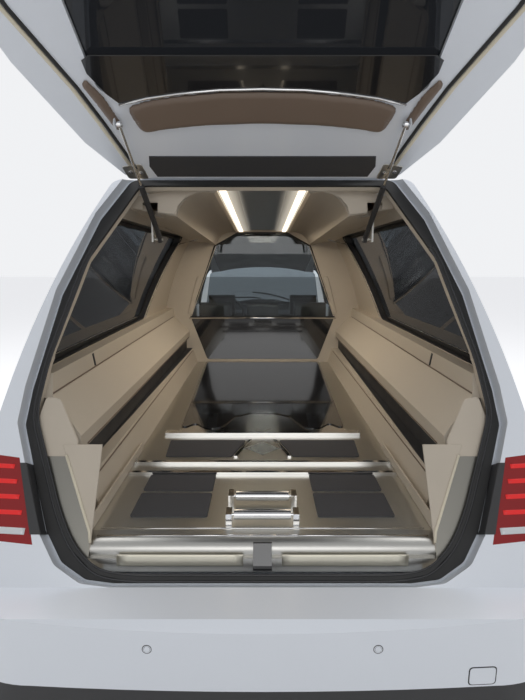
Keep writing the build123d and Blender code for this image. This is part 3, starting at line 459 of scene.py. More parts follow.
# %% Finish of each node
SIDES = (("left", -1), ("right", 1))
CORNERS = [(row, side, sign) for row in ("front", "rear") for side, sign in SIDES]
NODES_OF_FINISH = (
    (paint, "body_side_left body_side_right roof_panel front_wings front_bumper rear_bumper tail_panel"),
    (paint, "bonnet tailgate"),
    (black_plastic, "rear_valance cowl_panel grille door_posts dashboard strut_tube_left strut_tube_right"),
    (black_board, "deck_board partition_board"), (polished_steel, "wave_plate"), (underbody, "floor_pan"),
    (shaded_glass, "windscreen"), (tinted_glass, "bay_windows"), (privacy_glass, "tailgate_glass"),
    (clear_glass, "partition_glass"), (lamp_smoke, "headlamps"), (red_lens, "tail_lamps"), (black_leather, "seats"),
    (dark_iron, "engine_block front_axle rear_axle knuckle_left knuckle_right"), (deck_steel, "load_deck"),
    (sill_steel, "load_sill strut_brackets"), (mat_rubber, "deck_mats"), (seal_rubber, "opening_seal"),
    (chrome, "deck_fittings strut_rod_left strut_rod_right roller_rear roller_front"),
    (beige_leather, "bay_linings ceiling_lining partition_frame"), (ceiling_steel, "ceiling_panel"),
    (warm_light, "light_strips"), (brown_and_shaded_beige_leather, "tailgate_lining"),
)
NODE_FINISH = {node: material for material, names in NODES_OF_FINISH for node in names.split()}
for row, side, _ in CORNERS:
    NODE_FINISH |= {f"tyre_{row}_{side}": tyre_rubber, f"rim_{row}_{side}": alloy, f"door_{row}_{side}": paint}


def dress(node, material):
    """Give a CAD node one finish all over, on its object's own slots."""
    thing = nodes[node]
    for slot in thing.material_slots:
        slot.link = "OBJECT"
        slot.material = material
    if not thing.material_slots:
        thing.data.materials.append(material)


for node, material in NODE_FINISH.items():
    dress(node, material)
print(len(NODE_FINISH), "nodes dressed,", sorted(set(nodes) - set(NODE_FINISH)), "left")

# %% [markdown]
# ### Faces with a finish of their own
# Some nodes carry more than one finish: a door is paint outside, leather inside and glass in its window. The faces
# are told apart by the solid that they belong to, or by where they lie and which way they look.

# %% Tools that choose and repaint faces
def solids_of(mesh):
    """The faces of each closed solid, largest first; vertices at one place count as one."""
    parent = {}

    def root(key):
        """The place that stands for a whole solid."""
        while parent[key] != key:
            parent[key] = parent[parent[key]]
            key = parent[key]
        return key

    keys = [tuple(round(c, 5) for c in vertex.co) for vertex in mesh.vertices]
    for key in keys:
        parent.setdefault(key, key)
    for face in mesh.polygons:
        first = root(keys[face.vertices[0]])
        for index in face.vertices[1:]:
            parent[root(keys[index])] = first
    groups = {}
    for face in mesh.polygons:
        groups.setdefault(root(keys[face.vertices[0]]), []).append(face.index)
    return sorted(groups.values(), key=len, reverse=True)


def repaint(node, material, faces):
    """Give some faces of a CAD node a finish of their own."""
    mesh = nodes[node].data
    mesh.materials.append(material)
    for index in faces:
        mesh.polygons[index].material_index = len(mesh.materials) - 1
    return len(faces)


def chosen(node, test):
    """The faces of a CAD node whose centre and normal pass a test."""
    return [face.index for face in nodes[node].data.polygons if test(face.center, face.normal)]


# %% [markdown]
# The tail is one flat plane that leans forward, and the opening is sunk into it. A place's depth behind that plane
# tells the outer skin from the walls of the opening.

# %% The tail's plane
TAIL_FOOT = at(0, 0.130, 0.620)
OUTWARD = Vector((0, -0.8499, 0.5268))
LEAN = 0.750 / 1.210


def tail(x, z, lift=0.0):
    """A place on the tail's flat plane, by half and height."""
    return TAIL_FOOT + Vector((x, (z - TAIL_FOOT.z) * LEAN, z - TAIL_FOOT.z)) + OUTWARD * lift


def depth_in_tail(place):
    """How far a place lies inside the tail's flat plane."""
    return (TAIL_FOOT - place).dot(OUTWARD)


print("the tail leans", round(math.degrees(math.atan(LEAN)), 1), "degrees")

# %% Faces of doors, sill, walls, roof and linings
DOOR_INNER, MIRROR_START = 0.93, 0.935
LATCH_HALF = 0.055
WALL_INNER, WALL_FOOT = 0.86, 0.62
PANE_FOOT, PANE_TOP = 1.115, 1.69
BAY_REAR, PANE_FRONT, BAY_FRONT = at(0, 0.50, 0).y, at(0, 2.46, 0).y, at(0, 2.72, 0).y
SKIN_DEPTH, REVEAL_DEPTH = 0.047, 0.05
SLOT_LOW, SLOT_HIGH, SLOT_START, SLOT_FRONT = 0.811, 0.902, 0.585, at(0, 2.70, 0).y

for row, side, sign in CORNERS:
    door = f"door_{row}_{side}"
    repaint(door, black_leather, chosen(door, lambda c, n: n.x * sign < -0.3 and abs(c.x) < DOOR_INNER))
    repaint(door, tinted_glass, solids_of(nodes[door].data)[1])
    if row == "front":
        repaint(door, chrome, chosen(door, lambda c, n: abs(c.x) > MIRROR_START and n.y < -0.95))

sill_mesh = nodes["load_sill"].data
repaint("load_sill", black_board, [
    face.index for face in sill_mesh.polygons
    if max(abs(sill_mesh.vertices[index].co.x) for index in face.vertices) < LATCH_HALF])
repaint("load_sill", beige_leather, chosen("load_sill", lambda c, n: abs(c.x) > 0.497 and c.z > 0.71))
repaint("load_sill", plate_steel, chosen("load_sill", lambda c, n: abs(c.x) > 0.50 and n.y < -0.5))

for side, sign in SIDES:
    wall = f"body_side_{side}"
    repaint(wall, beige_leather, chosen(wall, lambda c, n: n.x * sign < -0.25 and abs(c.x) < WALL_INNER
                                        and c.z > WALL_FOOT and depth_in_tail(c) > SKIN_DEPTH))
    repaint(wall, black_plastic, chosen(wall, lambda c, n: abs(n.x) < 0.6 and PANE_FOOT < c.z < PANE_TOP
                                        and BAY_REAR < c.y < PANE_FRONT and depth_in_tail(c) > REVEAL_DEPTH))
over_cabin = repaint("roof_panel", black_leather, chosen("roof_panel", lambda c, n: n.z < -0.3 and c.y > BAY_FRONT))
over_bay = repaint("roof_panel", beige_leather, chosen(
    "roof_panel", lambda c, n: n.z < -0.3 and c.y <= BAY_FRONT and depth_in_tail(c) > REVEAL_DEPTH))
repaint("bay_linings", black_plastic, chosen(
    "bay_linings", lambda c, n: SLOT_LOW < c.z < SLOT_HIGH and abs(c.x) > SLOT_START and c.y < SLOT_FRONT))
print("roof faces over the cabin", over_cabin, "and over the bay", over_bay)

# %% [markdown]
# ## Small pieces
# Trim is made with three tools. A slab is a flat outline with a chamfered rim, a strip sweeps a rounded section
# along a path, and a drape drops a path onto the CAD's surfaces so that the strip follows their curve.

# %% Meshes, outlines and slabs
FOOT = 0.001


def build(name, points, faces, material, body="body", smooth=False):
    """A mesh piece with outward faces that rides on a body."""
    name = name.replace(" ", "_")
    mesh = bpy.data.meshes.new(name)
    mesh.from_pydata([tuple(point) for point in points], [], faces)
    form = bmesh.new()
    form.from_mesh(mesh)
    bmesh.ops.remove_doubles(form, verts=form.verts, dist=1e-6)
    bmesh.ops.recalc_face_normals(form, faces=form.faces)
    for face in form.faces:
        face.smooth = smooth
    form.to_mesh(mesh)
    form.free()
    mesh.materials.append(material)
    piece = bpy.data.objects.new(name, mesh)
    bpy.context.scene.collection.objects.link(piece)
    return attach(piece, body)


def inset(outline, amount):
    """The outline moved inward by an amount, corner by corner."""
    area = sum(a[0] * b[1] - b[0] * a[1] for a, b in zip(outline, outline[1:] + outline[:1]))
    turn = 1 if area > 0 else -1
    moved = []
    for before, here, after in zip(outline[-1:] + outline[:-1], outline, outline[1:] + outline[:1]):
        first = Vector((here[0] - before[0], here[1] - before[1])).normalized()
        second = Vector((after[0] - here[0], after[1] - here[1])).normalized()
        bisector = Vector((-first.y - second.y, first.x + second.x)) * turn
        length = max(bisector.length, 0.3)
        moved.append((here[0] + bisector.x / length ** 2 * 2 * amount,
                      here[1] + bisector.y / length ** 2 * 2 * amount))
    return moved


def rounded(outline, radius, steps=5):
    """The outline with its corners rounded."""
    points = []
    for before, here, after in zip(outline[-1:] + outline[:-1], outline, outline[1:] + outline[:1]):
        corner, back, forth = Vector(here), Vector(before), Vector(after)
        cut = min(radius, (back - corner).length * 0.45, (forth - corner).length * 0.45)
        start = corner + (back - corner).normalized() * cut
        end = corner + (forth - corner).normalized() * cut
        for step in range(steps + 1):
            t = step / steps
            points.append(tuple(start * (1 - t) ** 2 + corner * 2 * t * (1 - t) + end * t ** 2))
    return points


def shell(rings, size, looped=False):
    """Faces between rings of points, back to the first ring or closed by a cap at each end."""
    faces = [] if looped else [tuple(range(size)), tuple(range((rings - 1) * size, rings * size))]
    for ring in range(rings if looped else rings - 1):
        here, after = ring * size, (ring + 1) % rings * size
        faces += [(here + k, here + (k + 1) % size, after + (k + 1) % size, after + k) for k in range(size)]
    return faces


def slab(name, outline, place, top, material, body="body", chamfer=0.0015):
    """A flat piece: place(u, v, lift) puts its outline on a plane or a curved surface."""
    rings = [(outline, -FOOT), (outline, top - chamfer), (inset(outline, chamfer), top)]
    points = [place(u, v, lift) for ring, lift in rings for u, v in ring]
    return build(name, points, shell(len(rings), len(outline)), material, body)


# %% Strips, draped strips and discs
STRIP_SECTION = [(-0.5, 0.0), (-0.5, 0.5), (-0.36, 0.86), (0.0, 1.0), (0.36, 0.86), (0.5, 0.5), (0.5, 0.0)]


def strip(name, path, normals, width, height, material, body="body", closed=False):
    """A strip with a rounded section; its foot lies a little inside the surface."""
    count, points = len(path), []
    for k in range(count):
        before = path[k - 1] if k or closed else path[0]
        after = path[(k + 1) % count] if k < count - 1 or closed else path[-1]
        across = (after - before).normalized().cross(normals[k]).normalized()
        for u, v in STRIP_SECTION:
            points.append(path[k] + across * u * width + normals[k] * (v * (height + FOOT) - FOOT))
    return build(name, points, shell(count, len(STRIP_SECTION), closed), material, body, smooth=True)


def surface(*names):
    """A search tree of the faces of some CAD nodes."""
    points, faces = [], []
    for name in names:
        mesh = nodes[name].data
        start = len(points)
        points += [vertex.co.copy() for vertex in mesh.vertices]
        faces += [tuple(start + index for index in face.vertices) for face in mesh.polygons]
    return BVHTree.FromPolygons(points, faces)


def drape(tree, path, heading, step=0.03, closed=False):
    """Points and normals where a path, moved along a heading, meets the tree."""
    heading = Vector(heading).normalized()
    points, normals = [], []
    corners = list(path) + ([path[0]] if closed else [])
    for start, end in zip(corners, corners[1:]):
        pieces = max(1, round((end - start).length / step))
        for k in range(pieces + (0 if closed or end is not corners[-1] else 1)):
            here = start.lerp(end, k / pieces)
            hit, normal, _, _ = tree.ray_cast(here, heading)
            if hit is not None:
                points.append(hit)
                normals.append(normal if normal.dot(heading) < 0 else -normal)
    return points, normals


def draped(name, tree, path, heading, width, height, material, body="body", step=0.03, closed=False):
    """A strip along a path that is first dropped onto a surface."""
    return strip(name, *drape(tree, path, heading, step, closed), width, height, material, body, closed)


def disc(name, centre, normal, profile, material, body="body", turns=32):
    """A lathe-turned small part: profile rows of radius and lift along the normal."""
    normal = Vector(normal).normalized()
    side = normal.orthogonal().normalized()
    other = normal.cross(side)
    points = []
    for radius, lift in profile:
        for k in range(turns):
            angle = 2 * math.pi * k / turns
            points.append(Vector(centre) + normal * lift
                          + (side * math.cos(angle) + other * math.sin(angle)) * radius)
    return build(name, points, shell(len(profile), turns), material, body)


# %% [markdown]
# ## The tailgate's inner side
# The gate hangs open over the bay, so the photograph shows its lining: a black glass band across its width, a chrome
# line, pads of beige leather painted brown as the shade they lie in, a black strip by the hinges and a rail down each
# side whose cream edge is a painted highlight.

# %% Places on the open gate
TRIM_BODY = "tailgate"
GATE_HINGE = at(0, 0.880, 1.830)
GATE_RUN = Vector((0, -0.8830, 0.4694))
GATE_INNER = Vector((0, -0.4694, -0.8830))
GATE_THICK = 0.030


def gate(x, run, lift=0.0):
    """A place on the gate's inner face, by its half and its distance from the hinge."""
    return GATE_HINGE + Vector((x, 0, 0)) + GATE_RUN * run + GATE_INNER * (GATE_THICK + lift)


def both_halves(half):
    """A closed outline from its right half, which starts and ends on the centre plane."""
    return half + [(-x, run) for x, run in reversed(half) if x > 1e-6]


# %% Bands, lines, rails and hinge brackets of the gate
BAND_TOP, BRACKET_TOP, RAIL_CORNER = 0.004, 0.003, 1.2
BAND_EDGE = [(0.0, 0.421), (0.13, 0.417), (0.25, 0.404), (0.35, 0.387), (0.44, 0.362)]
glass_band = both_halves(BAND_EDGE + [(0.470, 0.400), (0.502, 0.470), (0.502, 0.512), (0.474, 0.530), (0.0, 0.530)])
slab("gate glass band", glass_band, gate, BAND_TOP, black_board, TRIM_BODY)
hinge_band = both_halves([(0.0, 0.012), (0.395, 0.012), (0.412, 0.07), (0.402, 0.124), (0.0, 0.124)])
slab("gate hinge strip", hinge_band, gate, 0.003, black_plastic, TRIM_BODY)
edge = [(-x, run) for x, run in reversed(BAND_EDGE[1:])] + BAND_EDGE
strip("gate chrome line", [gate(x, run - 0.003, BAND_TOP) for x, run in edge], [GATE_INNER] * len(edge), 0.008, 0.005,
      chrome, TRIM_BODY)
RAIL = [(0.462, 0.06), (0.485, 0.16), (0.512, 0.28), (0.548, 0.42), (0.590, 0.54), (0.632, 0.66), (0.664, 0.80),
        (0.672, 0.95), (0.640, 1.10), (0.572, 1.24), (0.500, 1.32), (0.420, 1.345), (0.20, 1.352), (0.0, 1.352)]
# The cream strip beside each seal line is a painted highlight along the rail's edge.
for name, offset, width, height, material in (("gate seal line", 0.0, 0.012, 0.006, seal_rubber),
                                              ("gate cream edge", 0.016, 0.014, 0.003, cream)):
    for sign in (-1, 1):
        path = [gate(sign * (x + offset * (run < RAIL_CORNER)), run + offset * (run > RAIL_CORNER)) for x, run in RAIL]
        strip(f"{name} {sign}", path, [GATE_INNER] * len(path), width, height, material, TRIM_BODY)
for sign in (-1, 1):
    bracket = rounded([(sign * x, run) for x, run in ((0.428, 0.000), (0.505, 0.000), (0.515, 0.07), (0.440, 0.085))],
                      0.012)
    slab(f"gate hinge bracket {sign}", bracket, gate, BRACKET_TOP, sill_steel, TRIM_BODY)
    for x, run in ((0.452, 0.035), (0.488, 0.040)):
        disc(f"bracket bolt {sign} {x}", gate(sign * x, run, BRACKET_TOP), GATE_INNER,
             [(0.0085, -0.001), (0.0085, 0.0008), (0.0075, 0.0014), (0.003, 0.0014), (0.003, 0.0006)], chrome,
             TRIM_BODY, 6)
print("gate trim on body tailgate")

# %% [markdown]
# ### Padded pads
# The gate's trim is beige leather over foam, painted dark brown for the shade that it lies in under the open gate.
# Each pad starts as rings that step inward to a crown. It gets an even skin, cloth under a little pressure rounds it,
# and the wide pad has a stitched seam inside its rim.

# %% Pads of the gate
def pad_form(name, outline, place, height, material, body):
    """A cushion over an outline: rings that step inward while they rise to a crown."""
    depths = [(0.0, 0.0), (0.0, 0.45), (0.002, 0.70), (0.005, 0.88), (0.009, 0.97), (0.013, 1.0)]
    rings = [(inset(outline, depth), share * height) for depth, share in depths]
    points = [place(u, v, lift - FOOT) for ring, lift in rings for u, v in ring]
    return build(name, points, shell(len(rings), len(outline)), material, body, smooth=True)


VOXEL, PRESSURE, MOST_SHIFT, CLOTH_FRAMES = 0.005, 4.0, 0.004, 20


def plump(pad):
    """Round a pad by cloth under pressure, and cap how far it may move."""
    remesh = pad.modifiers.new("even skin", "REMESH")
    remesh.mode = "VOXEL"
    remesh.voxel_size = VOXEL
    view = bpy.context.evaluated_depsgraph_get()
    skin = bpy.data.meshes.new_from_object(pad.evaluated_get(view))
    pad.modifiers.clear()
    materials = list(pad.data.materials)
    pad.data = skin
    pad.data.materials.clear()
    for material in materials:
        pad.data.materials.append(material)
    start = [vertex.co.copy() for vertex in pad.data.vertices]
    cloth = pad.modifiers.new("stuffing", "CLOTH")
    cloth.settings.use_pressure = True
    cloth.settings.uniform_pressure_force = PRESSURE
    cloth.settings.effector_weights.gravity = 0
    cloth.point_cache.frame_start, cloth.point_cache.frame_end = 1, CLOTH_FRAMES
    for step in range(1, CLOTH_FRAMES + 1):
        bpy.context.scene.frame_set(step)
    view = bpy.context.evaluated_depsgraph_get()
    moved = bpy.data.meshes.new_from_object(pad.evaluated_get(view))
    pad.modifiers.clear()
    for vertex, after, before in zip(pad.data.vertices, moved.vertices, start):
        shift = after.co - before
        vertex.co = before + shift * min(1.0, MOST_SHIFT / max(shift.length, 1e-9))
    bpy.context.scene.frame_set(1)
    for face in pad.data.polygons:
        face.use_smooth = True


def stitches(name, outline, place, lift, material, body, pitch=0.009, length=0.005):
    """Short threads along an outline, each a small raised lozenge."""
    points, faces = [], []
    loop = outline + outline[:1]
    carried = 0.0
    for start, end in zip(loop, loop[1:]):
        a, b = Vector(start), Vector(end)
        run = (b - a).length
        while carried < run:
            t = carried / run
            here, along = a.lerp(b, t), (b - a).normalized()
            wide = Vector((-along.y, along.x)) * 0.0007
            first = len(points)
            for offset, rise in ((-along * length / 2, 0.0), (wide, 0.0), (along * length / 2, 0.0), (-wide, 0.0),
                                 (Vector((0, 0)), 0.0012)):
                points.append(place(here.x + offset.x, here.y + offset.y, lift + rise))
            faces += [(first + k, first + (k + 1) % 4, first + 4) for k in range(4)]
            faces.append((first, first + 3, first + 2, first + 1))
            carried += pitch
        carried -= run
    return build(name, points, faces, material, body)


# %% The wide pad with its seam, and a pad at each side
TRIM_HALF = [(0.0, 0.412), (0.13, 0.408), (0.25, 0.395), (0.35, 0.378), (0.422, 0.350), (0.418, 0.30),
             (0.400, 0.236), (0.33, 0.250), (0.20, 0.268), (0.0, 0.278)]
trim_outline = rounded(both_halves(TRIM_HALF), 0.030, 4)
# The pads' brown is painted shade over beige leather.
gate_trim = pad_form("gate trim pad", trim_outline, gate, 0.010, brown_and_shaded_beige_leather, TRIM_BODY)
plump(gate_trim)
stitches("gate trim seam", inset(trim_outline, 0.016), gate, 0.0098, beige_leather, TRIM_BODY)
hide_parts("tailgate_lining")
for sign in (-1, 1):
    outline = rounded([(sign * x, run) for x, run in ((0.452, 0.262), (0.478, 0.252), (0.530, 0.435), (0.512, 0.452),
                                                      (0.478, 0.385))], 0.014, 3)
    side_pad = pad_form(f"gate side pad {sign}", outline, gate, 0.014, brown_and_shaded_beige_leather, TRIM_BODY)
    plump(side_pad)

# %% [markdown]
# ## Trim of the load bay
# Chrome and black lines frame the windows, pipings mark the seams of the upholstered ledges, and a short black strap
# comes through each ledge, for tying down wreaths.

# %% Window frames and seams
PANE = rounded([(0.530, 1.137), (2.005, 1.137), (2.428, 1.656), (0.878, 1.656)], 0.045)
FRAME = rounded([(0.498, 1.128), (2.030, 1.128), (2.468, 1.684), (0.862, 1.684)], 0.055)
INSIDE, OUTSIDE = 0.40, 1.2
SEAM_START, SEAM_END, SEAMS = 0.46, 2.66, ((1.068, "upper"), (0.906, "lip"), (0.800, "lower"))
STRAP_STATION = 0.90
lining_tree = surface("bay_linings")
for side, sign in SIDES:
    def within(*places):
        """Places inside the bay on this side, from which a path is dropped outward."""
        return [at(sign * INSIDE, station, z) for station, z in places]

    def without(*places):
        """Places outside the car on this side, from which a path is dropped inward."""
        return [at(sign * OUTSIDE, station, z) for station, z in places]

    out, back = (sign, 0, 0), (-sign, 0, 0)
    glass_tree = surface("bay_windows", f"body_side_{side}")
    wall_tree = surface(f"body_side_{side}", "bay_linings", "ceiling_lining")
    draped(f"bay window gasket {side}", glass_tree, within(*PANE), out, 0.020, 0.004, seal_rubber, step=0.04,
           closed=True)
    draped(f"bay window chrome {side}", wall_tree, within(*FRAME[9:14]), out, 0.009, 0.006, chrome, step=0.04)
    draped(f"bay window line {side}", glass_tree, within((0.57, 1.153), (1.96, 1.153)), out, 0.005, 0.004, chrome,
           step=0.04)
    for height, label in SEAMS:
        draped(f"bay piping {label} {side}", lining_tree, within((SEAM_START, height), (SEAM_END, height)), out, 0.005,
               0.003, brown_and_shaded_beige_leather)
    draped(f"wreath strap {side}", lining_tree, within((STRAP_STATION, 1.122), (STRAP_STATION, 1.072)), out, 0.016,
           0.003, black_plastic, step=0.012)
    draped(f"outer window gasket {side}", glass_tree, without(*PANE), back, 0.022, 0.003, seal_rubber, step=0.04,
           closed=True)
    draped(f"outer belt chrome {side}", glass_tree, without((0.60, 1.098), (2.70, 1.098)), back, 0.010, 0.005, chrome)
print("window frames, pipings and straps on both sides")


# %% Ceiling ends and the partition's trim
BOARD_STATION = 0.985
CORNER = [(0.204, 1.792), (0.200, 1.774), (0.262, 1.768), (0.314, 1.747), (0.343, 1.716), (0.353, 1.681),
          (0.425, 1.690), (0.425, 1.728), (0.485, 1.728), (0.485, 1.700), (0.530, 1.706), (0.530, 1.740),
          (0.500, 1.778)]
for sign in (-1, 1):
    slab(f"ceiling end board {sign}", [(sign * x, z) for x, z in CORNER],
         lambda u, v, lift: at(u, BOARD_STATION - lift, v), 0.006, beige_leather)


def partition(u, v, lift=0.0):
    """A place on the partition's rear face, by half and height."""
    return at(u, 2.719 - lift, v)


strip("partition chrome rail", [partition(x, 1.051) for x in (-0.575, 0.0, 0.575)], [BACK] * 3, 0.014, 0.008,
      chrome)
GLASS_EDGE = [(-0.190, 1.703), (-0.366, 1.606), (-0.566, 1.062), (0.566, 1.062), (0.366, 1.606), (0.190, 1.703)]
edge_path = [partition(x, z) for x, z in GLASS_EDGE]
strip("partition glass gasket", edge_path, [BACK] * len(edge_path), 0.010, 0.004, seal_rubber, closed=True)
for sign in (-1, 1):
    cover = rounded([(sign * x, z) for x, z in ((0.470, 1.375), (0.505, 1.375), (0.585, 1.085), (0.548, 1.085))], 0.01)
    slab(f"belt cover {sign}", cover, partition, 0.010, beige_leather, chamfer=0.003)
print("bay trim done")

# %% [markdown]
# ## Tail
# The lamps glow in thin horizontal bars behind red lenses, with a clear band low down. Black fillers join each lamp to
# the opening's seal, and a leather cap with a cream edge ends the lining inside it.

# %% Tail lamps, fillers and ends of the linings
BEHIND = -0.6
BAR_FOOT, BAR_PITCH, BAR_RISE, BAR_OUTER = 0.785, 0.037, 0.006, 0.868
LAMP_CORNER, LAMP_SLOPE = (0.664, 0.712), 0.40
RECESS, CAP_DEPTH = 0.045, 0.050
WALL_EDGE = [(0.629, 0.735), (0.636, 0.745), (0.671, 0.825), (0.706, 0.905)]
FILLER_FACE = [WALL_EDGE[0], (0.660, 0.735), (0.724, 0.905), WALL_EDGE[-1]]
FILLER_FLOOR = [(0.596, 0.735), WALL_EDGE[0], WALL_EDGE[-1], (0.668, 0.905), (0.620, 0.80)]
LINING_CAP = rounded([(0.700, 1.090), (0.716, 1.02), (0.690, 0.925), (0.585, 0.925), (0.574, 0.965), (0.652, 1.084)],
                     0.012)
LINING_END = [(0.622, 0.958), (0.4985, 0.958), (0.4985, 0.712), (0.508, 0.742)]
CREAM_EDGE = [(0.606, 0.930), (0.506, 0.742), (0.500, 0.716)]


def sunk(depth):
    """Places on a plane that lies some way behind the tail's."""
    return lambda x, z, lift=0.0: tail(x, z, lift - depth)


def half(outline, sign):
    """An outline of one half, on the side that the sign gives."""
    return [(sign * x, z) for x, z in outline]


lamp_tree = surface("tail_lamps")
for side, sign in SIDES:
    for row in range(4):
        z = BAR_FOOT + row * BAR_PITCH
        inner = LAMP_CORNER[0] + (z - LAMP_CORNER[1]) * LAMP_SLOPE
        draped(f"lamp bar {side} {row}", lamp_tree,
               [at(sign * inner, BEHIND, z), at(sign * BAR_OUTER, BEHIND, z + BAR_RISE)], FORWARD, 0.013, 0.0018,
               red_glow, step=0.012)
    draped(f"lamp clear band {side}", lamp_tree, [at(sign * 0.676, BEHIND, 0.742), at(sign * 0.86, BEHIND, 0.750)],
           FORWARD, 0.018, 0.0016, clear_lens, step=0.012)
    slab(f"lamp filler face {side}", half(FILLER_FACE, sign), tail, 0.002, black_plastic, chamfer=0.001)
    slab(f"lamp filler floor {side}", half(FILLER_FLOOR, sign), sunk(RECESS), 0.002, black_plastic)
    strip(f"lamp filler wall {side}", [tail(x, z, -RECESS / 2) for x, z in half(WALL_EDGE, sign)],
          [Vector((-sign, 0, 0))] * len(WALL_EDGE), RECESS + FOOT, 0.002, black_plastic)
    slab(f"lining end cap {side}", half(LINING_CAP, sign), sunk(CAP_DEPTH), 0.006, beige_leather, chamfer=0.003)
    slab(f"lining end face {side}", half(LINING_END, sign), sunk(RECESS), 0.003, beige_leather)
    strip(f"cream edge {side}", [tail(x, z, 0.0035 - RECESS) for x, z in half(CREAM_EDGE, sign)],
          [OUTWARD] * len(CREAM_EDGE), 0.008, 0.003, cream)
print("lamp bars, fillers and lining ends on both sides")

# %% [markdown]
# Two glossy lips run along the rubber seal, and stop below the gate's hinges. The sill plate has bright strips on top
# and a lighter panel at each side of its latch.

# %% Lips of the seal, sill strips and kick panels
LIP_TOP, SEAL_TOP, LIP_GAP = 1.70, -0.035, 0.014
SEAL_HALF = [(0.380, 0.630), (0.476, 0.642), (0.555, 0.700), (0.611, 0.783), (0.731, 1.036), (0.718, 1.193),
             (0.640, 1.530), (0.480, 1.812)]
SEAL_PATH = rounded(SEAL_HALF[::-1] + half(SEAL_HALF, -1), 0.045)
for name, shift in (("outer", 0.0), ("inner", LIP_GAP)):
    path = [tail(x, z, SEAL_TOP) for x, z in inset(SEAL_PATH, shift) if z < LIP_TOP]
    strip(f"seal lip {name}", path, [OUTWARD] * len(path), 0.006, 0.002, gloss_rubber)

STRIP_HALF = 0.49
for name, station, z, width in (("sill bright strip", 0.256, 0.6985, 0.009), ("deck rear edge", 0.292, 0.700, 0.006)):
    strip(name, [at(x, station, z) for x in (-STRIP_HALF, 0.0, STRIP_HALF)], [UP] * 3, width, 0.002, chrome)

KICK_HEIGHT, KICK_INNER, KICK_OUTER = 0.650, 0.056, 0.420
LINING_FOOT, FOOT_BOARD = 0.514, [(0.285, 0.701), (0.900, 0.701), (0.900, 0.735), (0.300, 0.745)]
sill_tree = surface("load_sill")
for side, sign in SIDES:
    draped(f"kick panel {side}", sill_tree, [at(sign * x, -0.4, KICK_HEIGHT) for x in (KICK_OUTER, KICK_INNER)],
           FORWARD, 0.034, 0.002, kick_steel)
    slab(f"lining foot {side}", FOOT_BOARD, lambda u, v, lift: at(sign * (LINING_FOOT - lift), u, v), 0.004,
         beige_leather)
print("seal lips", len(path), "points long")

# %% [markdown]
# The bumper carries two parking sensors, each in its own thin groove, and the square cover of the towing eye.

# %% Sensors and the towing cover
SENSOR_PLACES, SENSOR_HEIGHT = (-0.29, 0.29), 0.541
SENSOR = [(0.0105, -0.001), (0.0105, 0.0006), (0.0085, 0.0006), (0.0080, -0.0004), (0.0076, 0.0010), (0.0040, 0.0018)]
SENSOR_GROOVE = [(0.0125, -0.001), (0.0125, 0.0003), (0.0108, 0.0004)]
COVER_LOW, COVER_HIGH, GROOVE = (0.530, 0.428), (0.598, 0.476), 0.003
bumper_tree = surface("rear_bumper", "rear_valance")


def bumper(u, v, lift=0.0):
    """A place on the bumper's face, by half and height."""
    hit, _, _, _ = bumper_tree.ray_cast(at(u, -0.8, v), FORWARD)
    return hit + BACK * lift


def box_outline(low, high, grow, radius):
    """A rounded rectangle that is larger all round by an amount."""
    return rounded([(low[0] - grow, low[1] - grow), (high[0] + grow, low[1] - grow), (high[0] + grow, high[1] + grow),
                    (low[0] - grow, high[1] + grow)], radius)


for x in SENSOR_PLACES:
    spot = bumper(x, SENSOR_HEIGHT)
    disc(f"sensor groove {x}", spot, BACK, SENSOR_GROOVE, seal_rubber)
    disc(f"parking sensor {x}", spot, BACK, SENSOR, paint)
slab("towing cover groove", box_outline(COVER_LOW, COVER_HIGH, GROOVE, 0.012), bumper, 0.0004, seal_rubber,
     chamfer=0.0003)
slab("towing cover", box_outline(COVER_LOW, COVER_HIGH, 0.0, 0.010), bumper, 0.0018, paint, chamfer=0.0008)
print("sensor at", [round(c, 3) for c in spot])

# %% [markdown]
# ## Nose
# Each headlamp has two round projectors and a row of light along its upper edge. The grille gets a chrome rim, and
# two wiper arms lie along the foot of the windscreen.

# %% Headlamps, grille rim and wipers
AHEAD, ABOVE = 7.0, 2.5
PROJECTORS = ((0.565, 0.650), (0.660, 0.658))
PROJECTOR_RING = [(0.030, -0.001), (0.030, 0.003), (0.026, 0.004), (0.024, 0.001)]
PROJECTOR_LENS = [(0.0225, -0.001), (0.0225, 0.002), (0.018, 0.006), (0.009, 0.008)]
DAY_LIGHT = ((0.50, 0.688), (0.84, 0.700))
GRILLE_RIM = rounded([(-0.318, 0.330), (0.318, 0.330), (0.366, 0.590), (-0.366, 0.590)], 0.03)
WIPERS, WIPER_FOOT, WIPER_TIP = (("left", -0.02, -0.60), ("right", 0.42, -0.12)), 4.86, 4.72

head_tree = surface("headlamps")
for side, sign in SIDES:
    for x, z in PROJECTORS:
        hit, normal, _, _ = head_tree.ray_cast(at(sign * x, AHEAD, z), BACK)
        disc(f"projector {side} {x}", hit, normal, PROJECTOR_RING, chrome)
        disc(f"projector lens {side} {x}", hit, normal, PROJECTOR_LENS, clear_lens)
    draped(f"day light {side}", head_tree, [at(sign * x, AHEAD, z) for x, z in DAY_LIGHT], BACK, 0.009, 0.003,
           white_glow, step=0.02)
draped("grille rim", surface("grille", "front_bumper"), [at(x, AHEAD, z) for x, z in GRILLE_RIM], BACK, 0.012, 0.003,
       chrome, closed=True)
screen_tree = surface("windscreen")
for name, foot, tip in WIPERS:
    points, normals = drape(screen_tree, [at(foot, WIPER_FOOT, ABOVE), at(tip, WIPER_TIP, ABOVE)], -UP, 0.04)
    lifted = [point + normal * 0.006 for point, normal in zip(points, normals)]
    strip(f"wiper arm {name}", lifted, normals, 0.014, 0.008, black_plastic)
    strip(f"wiper blade {name}", points, normals, 0.007, 0.008, seal_rubber)
print("projectors at", PROJECTORS)

# %% [markdown]
# ## Doors
# Every door window has a black surround, with a chrome line under it that runs along the belt.

